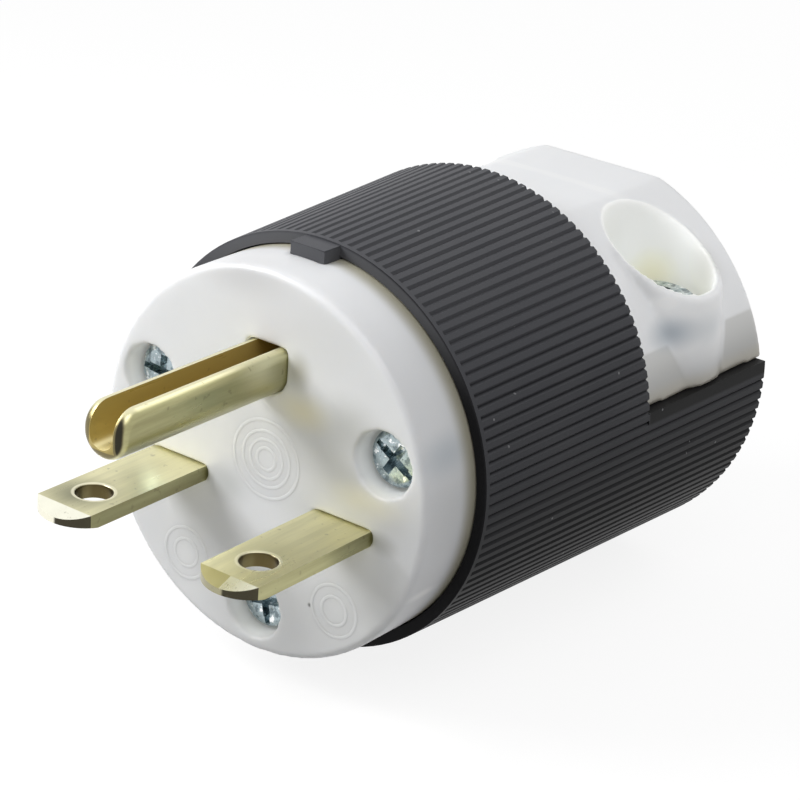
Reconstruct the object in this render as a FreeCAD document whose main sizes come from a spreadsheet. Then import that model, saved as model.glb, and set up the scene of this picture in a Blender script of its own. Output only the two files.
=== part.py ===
import FreeCAD, Part
import math
import os

import Sketcher

# Industrial 250 volt plug with two coplanar line blades and a folded ground pin.
# Millimetres. The origin is the centre of the front face, the blades point to -Y,
# +X is to the right seen from in front of the face and +Z is up, towards the ground pin.

doc = FreeCAD.newDocument("tandem_blade_plug")
sheet = doc.addObject("Spreadsheet::Sheet", "dims")

DIMENSIONS = [
    ("blade_width", 6.35, "width of a line blade"),
    ("blade_thickness", 1.42, "thickness of a line blade"),
    ("blade_length", 16.5, "reach of a blade from the face to the middle of its tip"),
    ("blade_side", 14.95, "reach of a blade's straight side edges"),
    ("blade_offset", 9.45, "centre of a blade from the middle plane"),
    ("blade_level", -2.92, "height of the blades' middle plane"),
    ("blade_tail", 16.0, "end of a blade inside the plug"),
    ("blade_hole_radius", 1.68, "radius of the detent hole near a blade's tip"),
    ("blade_hole_rim", 0.16, "rounding of the detent hole's rims"),
    ("blade_hole_reach", 11.2, "detent hole's centre from the face"),
    ("tip_bevel_drop", 0.6, "depth of the flat bevel on top of a blade's tip"),
    ("tip_under_run", 0.5, "length of the bevel under a blade's tip"),
    ("tip_under_drop", 0.25, "depth of the bevel under a blade's tip"),
    ("shoulder_overhang", 1.05, "how far the retaining shoulders stand out of a blade"),
    ("shoulder_depth", 1.5, "length of the retaining shoulders along the plug"),
    ("slot_clearance", 0.03, "play of a blade or pin in its slot"),
    ("pin_width", 4.6, "outer width of the folded ground pin"),
    ("pin_sheet", 1.0, "sheet thickness of the ground pin"),
    ("pin_bottom", 6.9, "height of the ground pin's round underside"),
    ("pin_height", 4.64, "height of the folded ground pin"),
    ("pin_length", 20.8, "reach of the ground pin from the face"),
    ("pin_leg_round", 2.2, "rounding of the pin's two legs at the tip"),
    ("pin_nose_round", 0.9, "rounding of the pin's underside at the tip"),
    ("flange_radius", 18.36, "outer radius of the white front body"),
    ("flange_depth", 9.0, "length of the front body's flange"),
    ("face_round", 0.5, "rounding of the front body's rim"),
    ("face_thickness", 4.0, "thickness of the front wall"),
    ("skirt_wall", 2.1, "wall of the front body's skirt"),
    ("sleeve_radius", 3.6, "outer radius of the front body's screw sleeves"),
    ("head_pocket_radius", 3.02, "radius of a screw pocket in the face"),
    ("head_pocket_depth", 3.4, "depth of a screw pocket in the face"),
    ("assembly_side_x", 13.35, "side of the two upper assembly screws"),
    ("assembly_side_z", 4.35, "height of the two upper assembly screws"),
    ("assembly_low_z", -14.1, "height of the lower assembly screw"),
    ("assembly_shank_radius", 1.7, "radius of an assembly screw's shank"),
    ("assembly_shank_length", 24.5, "length of an assembly screw's shank"),
    ("assembly_head_radius", 2.7, "radius of an assembly screw's head"),
    ("assembly_head_height", 1.7, "height of an assembly screw's head"),
    ("sleeve_clearance", 0.25, "play of an assembly screw in its sleeve"),
    ("thread_clearance", 0.05, "gap between a screw and the hole that it threads into"),
    ("key_width", 3.8, "width of the cover's key"),
    ("key_front", 4.9, "front end of the cover's key"),
    ("key_floor", 18.1, "height of the key's underside"),
    ("key_top", 19.4, "height of the key's top"),
    ("key_clearance", 0.12, "play round the key in its notch"),
    ("cover_front", 7.05, "front edge of the ribbed cover"),
    ("cover_front_radius", 19.6, "cover's outer radius at its front edge"),
    ("cover_rear", 51.2, "rear end of the cover"),
    ("cover_rear_radius", 21.4, "cover's outer radius at its rear end"),
    ("collar_end", 31.5, "rear end of the cover's full ring"),
    ("cover_bore", 17.9, "inner radius of the cover's sleeve"),
    ("flange_clearance", 0.15, "radial play of the front body in the cover"),
    ("boss_radius", 3.9, "radius of the cover's bosses for the assembly screws"),
    ("boss_hole_end", 29.0, "end of the holes in those bosses"),
    ("bulkhead", 2.0, "thickness of the wall between wiring space and clamp"),
    ("shell_wall_radius", 18.6, "inner radius of the half shell behind the bulkhead"),
    ("rear_wall", 2.5, "thickness of the rear wall"),
    ("stop_rib_width", 2.0, "width of the ribs that stop the terminal block"),
    ("stop_rib_reach", 14.0, "distance of those ribs from the axis"),
    ("ledge", 2.0, "height of the parting plane under the cord clamp"),
    ("cord_hole_radius", 6.5, "radius of the cord hole"),
    ("jaw_radius", 4.7, "radius of the gripping ridges round the cord"),
    ("jaw_width", 2.0, "thickness of a gripping ridge"),
    ("jaw_front", 35.6, "front gripping ridge"),
    ("jaw_rear", 45.6, "rear gripping ridge"),
    ("rib_count", 122, "grip ribs round the cover"),
    ("groove_depth", 0.26, "depth of the V-shaped grooves between the ribs"),
    ("groove_width", 0.5, "width of the grooves at the cover's surface"),
    ("groove_lip", 0.3, "how far a groove's cutter stands out of the cover"),
    ("groove_front", 7.5, "front end of the grooves"),
    ("clamp_gap", 0.3, "gap between the clamp and the bulkhead"),
    ("clamp_front_half", 19.7, "half width of the clamp at its front end"),
    ("clamp_rear", 52.0, "rear end of the clamp, which is the end of the plug"),
    ("clamp_rear_half", 20.55, "half width of the clamp at its rear end"),
    ("clamp_top", 17.15, "height of the clamp's flat top"),
    ("clamp_top_half", 6.8, "half width of the clamp's flat top"),
    ("clamp_wall", 2.2, "wall thickness of the clamp"),
    ("clamp_edge_round", 0.35, "rounding of the clamp's rear edge"),
    ("tower_x", 13.3, "side of the clamp screws"),
    ("tower_y", 42.1, "clamp screws from the face"),
    ("tower_radius", 7.35, "radius of the clamp's screw towers at their foot"),
    ("tower_draft", 6.3, "taper of the towers in degrees"),
    ("tower_slope", 28.5, "slope of the towers' upper rim in degrees"),
    ("tower_slope_start", 7.45, "side at which the slope begins"),
    ("tower_step", 0.05, "height of the slope's upper edge over the flat top"),
    ("tower_pocket_radius", 5.5, "radius of the pocket over a clamp screw"),
    ("tower_floor", 6.3, "height of the floor under a clamp screw's head"),
    ("clamp_screw_radius", 1.9, "radius of a clamp screw's shank"),
    ("clamp_screw_end", -5.0, "lower end of a clamp screw"),
    ("clamp_head_radius", 4.0, "radius of a clamp screw's head"),
    ("clamp_head_height", 2.85, "height of a clamp screw's head"),
    ("clamp_head_round", 0.3, "rounding of a clamp screw's head"),
    ("clamp_hole_radius", 2.2, "radius of the clamp screws' clearance holes"),
    ("nut_boss_radius", 5.0, "radius of the cover's bosses for the clamp screws"),
    ("nut_boss_depth", 9.5, "depth of those bosses below the parting plane"),
    ("nut_top", -0.9, "height of a clamp nut's upper side"),
    ("nut_size", 6.2, "width across a square clamp nut"),
    ("nut_height", 2.2, "height of a clamp nut"),
    ("nut_clearance", 0.1, "play of a clamp nut in its slot"),
    ("block_radius", 15.9, "outer radius of the terminal block"),
    ("block_rear", 21.5, "rear end of the terminal block"),
    ("block_clearance", 0.1, "play behind the terminal block"),
    ("notch_clearance", 0.2, "play of the bosses in the block's notches"),
    ("chamber_end", 18.0, "rear end of the terminal chambers"),
    ("chamber_play", 0.3, "play beside a blade in its chamber"),
    ("chamber_relief", 0.9, "room beyond a blade for the screw's end"),
    ("wire_gap", 2.2, "gap between a conductor and its pressure plate"),
    ("wire_hole_radius", 1.9, "radius of the wire holes"),
    ("wire_funnel", 0.9, "bevel at the mouth of a wire hole"),
    ("plate_width", 6.0, "width of a line pressure plate"),
    ("ground_plate_width", 5.0, "width of the ground pressure plate"),
    ("plate_thickness", 1.2, "thickness of a pressure plate"),
    ("plate_length", 8.0, "length of a pressure plate along the plug"),
    ("plate_bevel", 0.4, "bevel of a pressure plate's wire edge"),
    ("terminal_y", 12.0, "terminal screws from the face"),
    ("terminal_screw_radius", 1.75, "radius of a terminal screw's shank"),
    ("terminal_head_radius", 2.5, "radius of a terminal screw's head"),
    ("terminal_head_height", 2.2, "height of a terminal screw's head"),
    ("terminal_screw_over", 0.4, "how far a terminal screw passes its thread"),
    ("plate_hole_play", 0.25, "play of a terminal screw in its plate"),
    ("recess_width", 0.8, "width of the arms of a cross recess"),
    ("recess_depth", 1.2, "depth of a cross recess"),
    ("recess_share", 0.6, "reach of a cross recess as a share of the head"),
    ("slit_width", 0.55, "width of the slit across an assembly screw's recess"),
    ("slit_depth", 0.6, "depth of that slit"),
    ("slit_share", 0.84, "reach of that slit as a share of the head"),
    ("head_round", 0.6, "rounding of the other screw heads"),
]

for row, (alias, amount, meaning) in enumerate(DIMENSIONS, start=1):
    sheet.set(f"A{row}", meaning)
    sheet.set(f"B{row}", str(amount))
    sheet.setAlias(f"B{row}", alias)
doc.recompute()

# Sizes that follow from the driving ones
BLADE_TOP = "(dims.blade_level + dims.blade_thickness / 2)"
BLADE_UNDER = "(dims.blade_level - dims.blade_thickness / 2)"
SHOULDER_END = "(dims.face_thickness + dims.shoulder_depth)"
PIN_ROUND = "(dims.pin_width / 2)"
PIN_CENTRE = "(dims.pin_bottom + dims.pin_width / 2)"
PIN_TOP = "(dims.pin_bottom + dims.pin_height)"
PIN_WEB = "(dims.pin_bottom + dims.pin_sheet)"
PIN_SHOULDER = "(dims.pin_width / 2 + dims.shoulder_overhang)"
LINE_PLATE = f"({BLADE_UNDER} - dims.wire_gap)"
GROUND_PLATE = f"({PIN_WEB} + dims.wire_gap)"
COVER_SLOPE = "((dims.cover_rear_radius - dims.cover_front_radius) / (dims.cover_rear - dims.cover_front))"
CLAMP_FRONT = "(dims.collar_end + dims.clamp_gap)"
REAR_WALL_FRONT = "(dims.cover_rear - dims.rear_wall)"
BULKHEAD_FRONT = "(dims.collar_end - dims.bulkhead)"
ASSEMBLY_SITES = [
    ("left", "-dims.assembly_side_x", "dims.assembly_side_z"),
    ("right", "dims.assembly_side_x", "dims.assembly_side_z"),
    ("lower", "0", "dims.assembly_low_z"),
]
ASSEMBLY_TURNS = {"left": 4.0, "right": 32.0, "lower": 78.0}
TERMINAL_HEAD = ("dims.terminal_head_radius", "dims.terminal_head_height", "dims.head_round")
SIDES = [("left", "-1"), ("right", "1")]
ROUNDING_STEPS = 3
parts = []


def size(expression):
    """Value of an expression over the sheet, in millimetres or degrees."""
    return float(sheet.evalExpression(expression))


def new_body(name):
    """Empty body whose label names the sub-part."""
    body = doc.addObject("PartDesign::Body", name)
    body.Label = name
    parts.append(body)
    return body


def origin_feature(body, role):
    """Origin plane or axis of a body."""
    return next(item for item in body.Origin.OriginFeatures if item.Role == role)


def sketch_on(body, role, name, offset="0"):
    """Sketch on an origin plane, moved along the plane's normal by an expression."""
    sketch = body.newObject("Sketcher::SketchObject", name)
    sketch.AttachmentSupport = [(origin_feature(body, role), "")]
    sketch.MapMode = "FlatFace"
    sketch.setExpression("AttachmentOffset.Base.z", offset)
    return sketch


def bind(sketch, kind, geometry, point, expression):
    """Distance of a point from the sketch's origin, bound to the sheet."""
    constraint = Sketcher.Constraint(kind, -1, 1, geometry, point, size(expression))
    index = sketch.addConstraint(constraint)
    sketch.setExpression(f"Constraints[{index}]", expression)


def outline(sketch, corners, arcs=None):
    """Closed outline. Each corner is a pair of expressions, and arcs maps an edge's number
    to its centre, its turning sense (1 is counter-clockwise) and the centre's bound axis."""
    arcs = arcs or {}
    first = sketch.GeometryCount
    count = len(corners)
    places = [FreeCAD.Vector(size(x), size(y), 0) for x, y in corners]
    ends = []
    for index in range(count):
        start = places[index]
        stop = places[(index + 1) % count]
        if index in arcs:
            centre_x, centre_y, sense, _ = arcs[index]
            centre = FreeCAD.Vector(size(centre_x), size(centre_y), 0)
            if sense < 0:
                start, stop = stop, start
            circle = Part.Circle(centre, FreeCAD.Vector(0, 0, 1), (start - centre).Length)
            angles = [math.atan2(p.y - centre.y, p.x - centre.x) for p in (start, stop)]
            sketch.addGeometry(Part.ArcOfCircle(circle, angles[0], angles[1]), False)
            ends.append((1, 2) if sense > 0 else (2, 1))
        else:
            sketch.addGeometry(Part.LineSegment(start, stop), False)
            ends.append((1, 2))
    for index in range(count):
        after = (index + 1) % count
        joint = Sketcher.Constraint(
            "Coincident", first + index, ends[index][1], first + after, ends[after][0]
        )
        sketch.addConstraint(joint)
    for index, (x, y) in enumerate(corners):
        bind(sketch, "DistanceX", first + index, ends[index][0], x)
        bind(sketch, "DistanceY", first + index, ends[index][0], y)
    for index, (centre_x, centre_y, _, axis) in arcs.items():
        if axis == "x":
            bind(sketch, "DistanceX", first + index, 3, centre_x)
        else:
            bind(sketch, "DistanceY", first + index, 3, centre_y)


def rectangle(sketch, left, right, low, high):
    """Rectangle between two x and two y expressions."""
    outline(sketch, [(left, low), (right, low), (right, high), (left, high)])


def circle(sketch, x, y, radius):
    """Circle with its centre and radius bound to the sheet."""
    index = sketch.GeometryCount
    centre = FreeCAD.Vector(size(x), size(y), 0)
    sketch.addGeometry(Part.Circle(centre, FreeCAD.Vector(0, 0, 1), size(radius)), False)
    bind(sketch, "DistanceX", index, 3, x)
    bind(sketch, "DistanceY", index, 3, y)
    number = sketch.addConstraint(Sketcher.Constraint("Radius", index, size(radius)))
    sketch.setExpression(f"Constraints[{number}]", radius)


def cross(sketch, x, y, reach):
    """Cross of two equal bars round a point."""
    half = "(dims.recess_width / 2)"
    signs = [(1, -1), (1, 1), (-1, 1), (-1, -1)]
    corners = []
    for step, (sign_x, sign_y) in enumerate(signs):
        arm = (f"{x} + {sign_x} * {reach}", f"{y} + {sign_y} * {half}")
        inner = (f"{x} + {sign_x} * {half}", f"{y} + {sign_y} * {half}")
        leg = (f"{x} + {sign_x} * {half}", f"{y} + {sign_y} * {reach}")
        corners += [leg, inner, arm] if step % 2 == 0 else [arm, inner, leg]
    outline(sketch, corners)


def extrude(body, kind, sketch, name, length, reverse=False, symmetric=False):
    """Pad or pocket of a sketch, with its length bound to the sheet."""
    feature = body.newObject(f"PartDesign::{kind}", name)
    feature.Profile = sketch
    feature.SideType = "Symmetric" if symmetric else "One side"
    feature.Reversed = reverse
    feature.setExpression("Length", length)
    sketch.Visibility = False
    return feature


def revolve(body, kind, sketch, name):
    """Full revolution or groove about the sketch's vertical axis."""
    feature = body.newObject(f"PartDesign::{kind}", name)
    feature.Profile = sketch
    feature.ReferenceAxis = (sketch, ["V_Axis"])
    feature.Angle = 360.0
    sketch.Visibility = False
    return feature


def turn_copies(body, feature, name, angle, count):
    """Copies of a feature spread about the plug's axis."""
    pattern = body.newObject("PartDesign::PolarPattern", name)
    pattern.Originals = [feature]
    pattern.Axis = (origin_feature(body, "Y_Axis"), [""])
    pattern.Angle = angle
    pattern.setExpression("Occurrences", count)
    body.Tip = pattern
    return pattern


def edges_where(feature, test):
    """Names of a feature's edges that pass a test."""
    doc.recompute()
    edges = feature.Shape.Edges
    return [f"Edge{number}" for number, edge in enumerate(edges, start=1) if test(edge)]


def round_edges(body, feature, name, radius, test):
    """Fillet on the edges that pass a test."""
    names = edges_where(feature, test)
    fillet = body.newObject("PartDesign::Fillet", name)
    fillet.Base = (feature, names)
    fillet.setExpression("Radius", radius)
    return fillet


def place(body, x="0", y="0", z="0"):
    """Position of a body, bound to the sheet."""
    for axis, expression in (("x", x), ("y", y), ("z", z)):
        body.setExpression(f".Placement.Base.{axis}", expression)


def near(value, expression):
    """True where a coordinate equals an expression of the sheet."""
    return abs(value - size(expression)) < 1e-4


def flat_at(edge, axis, expression):
    """True for an edge that lies in one plane across an axis."""
    low = getattr(edge.BoundBox, f"{axis}Min")
    high = getattr(edge.BoundBox, f"{axis}Max")
    return near(low, expression) and near(high, expression)


def pin_section(sketch):
    """Folded U of the ground pin."""
    inner = f"({PIN_ROUND} - dims.pin_sheet)"
    corners = [
        (f"-{PIN_ROUND}", PIN_TOP),
        (f"-{PIN_ROUND}", PIN_CENTRE),
        (PIN_ROUND, PIN_CENTRE),
        (PIN_ROUND, PIN_TOP),
        (inner, PIN_TOP),
        (inner, PIN_CENTRE),
        (f"-{inner}", PIN_CENTRE),
        (f"-{inner}", PIN_TOP),
    ]
    arcs = {1: ("0", PIN_CENTRE, 1, "y"), 5: ("0", PIN_CENTRE, -1, "y")}
    outline(sketch, corners, arcs)


def make_line_blade(side, sign):
    """Flat blade with a round tip that is beveled on both faces, a detent hole, retaining
    shoulders and a tail with the terminal screw's threaded hole."""
    body = new_body(f"line_blade_{side}")
    place(body, x=f"{sign} * dims.blade_offset", z="dims.blade_level")
    half = "(dims.blade_width / 2)"
    wide = f"({half} + dims.shoulder_overhang)"
    sagitta = "(dims.blade_length - dims.blade_side)"
    tip_radius = f"(({half} * {half} + {sagitta} * {sagitta}) / (2 * {sagitta}))"
    tip_centre = f"({tip_radius} - dims.blade_length)"
    plan = sketch_on(body, "XY_Plane", f"blade_{side}_plan")
    corners = [
        (f"-{half}", "-dims.blade_side"),
        (half, "-dims.blade_side"),
        (half, "dims.face_thickness"),
        (wide, "dims.face_thickness"),
        (wide, SHOULDER_END),
        (half, SHOULDER_END),
        (half, "dims.blade_tail"),
        (f"-{half}", "dims.blade_tail"),
        (f"-{half}", SHOULDER_END),
        (f"-{wide}", SHOULDER_END),
        (f"-{wide}", "dims.face_thickness"),
        (f"-{half}", "dims.face_thickness"),
    ]
    outline(plan, corners, {0: ("0", tip_centre, 1, "y")})
    strip = extrude(body, "Pad", plan, f"blade_{side}_strip", "dims.blade_thickness", symmetric=True)
    under_edges = edges_where(
        strip,
        lambda edge: edge.Curve.TypeId == "Part::GeomCircle"
        and flat_at(edge, "Z", "-dims.blade_thickness / 2"),
    )
    under = body.newObject("PartDesign::Chamfer", f"blade_{side}_under_bevel")
    under.Base = (strip, under_edges)
    under.ChamferType = "Two distances"
    under.setExpression("Size", "dims.tip_under_drop")
    under.setExpression("Size2", "dims.tip_under_run")
    top_bevel = sketch_on(body, "YZ_Plane", f"blade_{side}_top_bevel_side")
    upper = "(dims.blade_thickness / 2)"
    beyond = f"(dims.blade_length + {sagitta})"
    corners = [
        ("-dims.blade_side", upper),
        (f"-{beyond}", upper),
        (f"-{beyond}", f"{upper} - 2 * dims.tip_bevel_drop"),
    ]
    outline(top_bevel, corners)
    extrude(body, "Pocket", top_bevel, f"blade_{side}_top_bevel", "2 * dims.blade_width", symmetric=True)
    holes = sketch_on(body, "XY_Plane", f"blade_{side}_holes")
    circle(holes, "0", "-dims.blade_hole_reach", "dims.blade_hole_radius")
    circle(holes, "0", "dims.terminal_y", "dims.terminal_screw_radius + dims.thread_clearance")
    drilled = extrude(
        body, "Pocket", holes, f"blade_{side}_drilled", "2 * dims.blade_thickness", symmetric=True
    )
    round_edges(
        body,
        drilled,
        f"blade_{side}_hole_rim",
        "dims.blade_hole_rim",
        lambda edge: edge.Curve.TypeId == "Part::GeomCircle"
        and near(edge.Curve.Radius, "dims.blade_hole_radius"),
    )


def make_ground_pin():
    """Sheet folded into a U, open upwards, whose web runs on inside the plug as a flat tail."""
    body = new_body("ground_pin")
    section = sketch_on(body, "XZ_Plane", "pin_section", f"-{SHOULDER_END}")
    pin_section(section)
    fold = extrude(body, "Pad", section, "pin_fold", f"dims.pin_length + {SHOULDER_END}")
    legs = round_edges(
        body,
        fold,
        "pin_leg_tips",
        "dims.pin_leg_round",
        lambda edge: flat_at(edge, "Y", "-dims.pin_length") and flat_at(edge, "Z", PIN_TOP),
    )
    outer = 0.9 * size(PIN_ROUND)
    round_edges(
        body,
        legs,
        "pin_nose",
        "dims.pin_nose_round",
        lambda edge: flat_at(edge, "Y", "-dims.pin_length")
        and edge.Curve.TypeId == "Part::GeomCircle"
        and edge.Curve.Radius > outer,
    )
    tail = sketch_on(body, "XY_Plane", "pin_tail_plan", "dims.pin_bottom")
    narrow = "(dims.pin_width / 2)"
    corners = [
        (f"-{PIN_SHOULDER}", "dims.face_thickness"),
        (PIN_SHOULDER, "dims.face_thickness"),
        (PIN_SHOULDER, SHOULDER_END),
        (narrow, SHOULDER_END),
        (narrow, "dims.blade_tail"),
        (f"-{narrow}", "dims.blade_tail"),
        (f"-{narrow}", SHOULDER_END),
        (f"-{PIN_SHOULDER}", SHOULDER_END),
    ]
    outline(tail, corners)
    extrude(body, "Pad", tail, "pin_tail", "dims.pin_sheet")
    hole = sketch_on(body, "XY_Plane", "pin_tail_hole", PIN_WEB)
    circle(hole, "0", "dims.terminal_y", "dims.terminal_screw_radius + dims.thread_clearance")
    extrude(body, "Pocket", hole, "pin_tail_drilled", "2 * dims.pin_sheet")


def make_front_body():
    """Cup-shaped front with blade slots, three screw sleeves and the notch for the key."""
    body = new_body("front_body")
    profile = sketch_on(body, "XY_Plane", "front_profile")
    skirt_bore = "(dims.flange_radius - dims.skirt_wall)"
    corners = [
        ("0", "0"),
        ("dims.flange_radius", "0"),
        ("dims.flange_radius", "dims.flange_depth"),
        (skirt_bore, "dims.flange_depth"),
        (skirt_bore, "dims.face_thickness"),
        ("0", "dims.face_thickness"),
    ]
    outline(profile, corners)
    cup = revolve(body, "Revolution", profile, "front_cup")
    rim = round_edges(
        body,
        cup,
        "front_rim",
        "dims.face_round",
        lambda edge: edge.Curve.TypeId == "Part::GeomCircle" and flat_at(edge, "Y", "0"),
    )
    body.Tip = rim
    sleeves = sketch_on(body, "XZ_Plane", "front_sleeve_plan", "-dims.flange_depth")
    pockets = sketch_on(body, "XZ_Plane", "front_pocket_plan")
    passages = sketch_on(body, "XZ_Plane", "front_passage_plan")
    for _, x, z in ASSEMBLY_SITES:
        circle(sleeves, x, z, "dims.sleeve_radius")
        circle(pockets, x, z, "dims.head_pocket_radius")
        circle(passages, x, z, "dims.assembly_shank_radius + dims.sleeve_clearance")
    extrude(body, "Pad", sleeves, "front_sleeves", "dims.flange_depth - dims.face_thickness / 2")
    extrude(body, "Pocket", pockets, "front_pockets", "dims.head_pocket_depth")
    extrude(body, "Pocket", passages, "front_passages", "dims.flange_depth")
    slots = sketch_on(body, "XZ_Plane", "front_slot_plan")
    half = "(dims.blade_width / 2 + dims.slot_clearance)"
    for _, sign in SIDES:
        middle = f"{sign} * dims.blade_offset"
        low = f"{BLADE_UNDER} - dims.slot_clearance"
        high = f"{BLADE_TOP} + dims.slot_clearance"
        rectangle(slots, f"{middle} - {half}", f"{middle} + {half}", low, high)
    extrude(body, "Pocket", slots, "front_slots", "dims.face_thickness")
    pin_slot = sketch_on(body, "XZ_Plane", "front_pin_slot_plan")
    slot_half = f"({PIN_ROUND} + dims.slot_clearance)"
    slot_top = f"({PIN_TOP} + dims.slot_clearance)"
    slot_corners = [
        (f"-{slot_half}", slot_top),
        (f"-{slot_half}", PIN_CENTRE),
        (slot_half, PIN_CENTRE),
        (slot_half, slot_top),
    ]
    outline(pin_slot, slot_corners, {1: ("0", PIN_CENTRE, 1, "y")})
    extrude(body, "Pocket", pin_slot, "front_pin_slot", "dims.face_thickness")
    notch = sketch_on(body, "XZ_Plane", "front_notch_plan", "-(dims.key_front - dims.key_clearance)")
    notch_half = "(dims.key_width / 2 + dims.key_clearance)"
    notch_floor = "dims.key_floor - dims.key_clearance"
    rectangle(notch, f"-{notch_half}", notch_half, notch_floor, "dims.flange_radius + 1")
    extrude(body, "Pocket", notch, "front_notch", "dims.flange_depth")


def make_terminal_block():
    """Insulating block that holds the conductors' tails in three chambers."""
    body = new_body("terminal_block")
    disc = sketch_on(body, "XZ_Plane", "block_plan", "-dims.block_rear")
    circle(disc, "0", "0", "dims.block_radius")
    extrude(body, "Pad", disc, "block_disc", "dims.block_rear - dims.face_thickness")
    notches = sketch_on(body, "XZ_Plane", "block_notch_plan", "-dims.face_thickness")
    for _, x, z in ASSEMBLY_SITES:
        circle(notches, x, z, "dims.boss_radius + dims.notch_clearance")
    extrude(body, "Pocket", notches, "block_notches", "dims.block_rear")
    chambers = sketch_on(body, "XZ_Plane", "block_chamber_plan", "-dims.face_thickness")
    recesses = sketch_on(body, "XZ_Plane", "block_recess_plan", "-dims.face_thickness")
    half = "(dims.blade_width / 2 + dims.chamber_play)"
    wide = "(dims.blade_width / 2 + dims.shoulder_overhang + dims.slot_clearance)"
    outside = "(dims.block_radius + 1)"
    for _, sign in SIDES:
        middle = f"{sign} * dims.blade_offset"
        roof = f"{BLADE_TOP} + dims.chamber_relief"
        rectangle(chambers, f"{middle} - {half}", f"{middle} + {half}", f"-{outside}", roof)
        low = f"{BLADE_UNDER} - dims.slot_clearance"
        high = f"{BLADE_TOP} + dims.slot_clearance"
        rectangle(recesses, f"{middle} - {wide}", f"{middle} + {wide}", low, high)
    ground_half = "(dims.ground_plate_width / 2 + dims.chamber_play)"
    floor = "dims.pin_bottom - dims.chamber_relief"
    rectangle(chambers, f"-{ground_half}", ground_half, floor, outside)
    ground_wide = f"({PIN_SHOULDER} + dims.slot_clearance)"
    low = "dims.pin_bottom - dims.slot_clearance"
    rectangle(recesses, f"-{ground_wide}", ground_wide, low, f"{PIN_WEB} + dims.slot_clearance")
    extrude(body, "Pocket", chambers, "block_chambers", "dims.chamber_end - dims.face_thickness")
    extrude(body, "Pocket", recesses, "block_recesses", "dims.shoulder_depth")
    wires = sketch_on(body, "XZ_Plane", "block_wire_plan", "-dims.block_rear")
    line_wire = f"{BLADE_UNDER} - dims.wire_gap / 2"
    for _, sign in SIDES:
        circle(wires, f"{sign} * dims.blade_offset", line_wire, "dims.wire_hole_radius")
    circle(wires, "0", f"{PIN_WEB} + dims.wire_gap / 2", "dims.wire_hole_radius")
    holes = extrude(
        body, "Pocket", wires, "block_wire_holes", "dims.block_rear - dims.chamber_end", reverse=True
    )
    mouths = edges_where(
        holes,
        lambda edge: edge.Curve.TypeId == "Part::GeomCircle"
        and flat_at(edge, "Y", "dims.block_rear")
        and near(edge.Curve.Radius, "dims.wire_hole_radius"),
    )
    funnel = body.newObject("PartDesign::Chamfer", "block_funnels")
    funnel.Base = (holes, mouths)
    funnel.setExpression("Size", "dims.wire_funnel")


def make_cover():
    """Ribbed sleeve that runs on behind its collar as a half shell under the cord clamp."""
    body = new_body("cover")
    profile = sketch_on(body, "XY_Plane", "cover_profile")
    seat_bore = "(dims.flange_radius + dims.flange_clearance)"
    corners = [
        (seat_bore, "dims.cover_front"),
        ("dims.cover_front_radius", "dims.cover_front"),
        ("dims.cover_rear_radius", "dims.cover_rear"),
        ("0", "dims.cover_rear"),
        ("0", REAR_WALL_FRONT),
        ("dims.shell_wall_radius", REAR_WALL_FRONT),
        ("dims.shell_wall_radius", "dims.collar_end"),
        ("0", "dims.collar_end"),
        ("0", BULKHEAD_FRONT),
        ("dims.cover_bore", BULKHEAD_FRONT),
        ("dims.cover_bore", "dims.flange_depth"),
        (seat_bore, "dims.flange_depth"),
    ]
    outline(profile, corners)
    revolve(body, "Revolution", profile, "cover_shell")
    opening = sketch_on(body, "XY_Plane", "cover_opening_plan", "dims.ledge")
    wide = "(dims.cover_rear_radius + 2)"
    rectangle(opening, f"-{wide}", wide, "dims.collar_end", "dims.cover_rear + 1")
    extrude(body, "Pocket", opening, "cover_opening", wide, reverse=True)
    add_cover_grooves(body)
    add_cord_saddle(body)
    add_cover_bosses(body)
    key = sketch_on(body, "XZ_Plane", "cover_key_plan", "-dims.flange_depth")
    rectangle(key, "-dims.key_width / 2", "dims.key_width / 2", "dims.key_floor", "dims.key_top")
    extrude(body, "Pad", key, "cover_key", "dims.flange_depth - dims.key_front")


def add_cover_grooves(body):
    """V-shaped grooves along the cone, all round the sleeve and on the half shell below."""
    spans = [
        ("sleeve", "dims.groove_front", "dims.collar_end", 360.0, "dims.rib_count"),
        ("shell", "dims.collar_end", "dims.cover_rear", 180.0, "dims.rib_count / 2 + 1"),
    ]
    half = "(dims.groove_width / 2 * (1 + dims.groove_lip / dims.groove_depth))"
    for name, start, stop, angle, count in spans:
        ends = []
        for end, y in (("front", start), ("rear", stop)):
            surface = f"(dims.cover_front_radius + {COVER_SLOPE} * ({y} - dims.cover_front))"
            mouth = f"{surface} + dims.groove_lip"
            section = sketch_on(body, "XZ_Plane", f"{name}_groove_{end}", f"-({y})")
            corners = [(f"{surface} - dims.groove_depth", "0"), (mouth, f"-{half}"), (mouth, half)]
            outline(section, corners)
            section.Visibility = False
            ends.append(section)
        groove = body.newObject("PartDesign::SubtractiveLoft", f"{name}_groove")
        groove.Profile = ends[0]
        groove.Sections = [ends[1]]
        groove.Ruled = True
        turn_copies(body, groove, f"{name}_grooves", angle, count)


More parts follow.
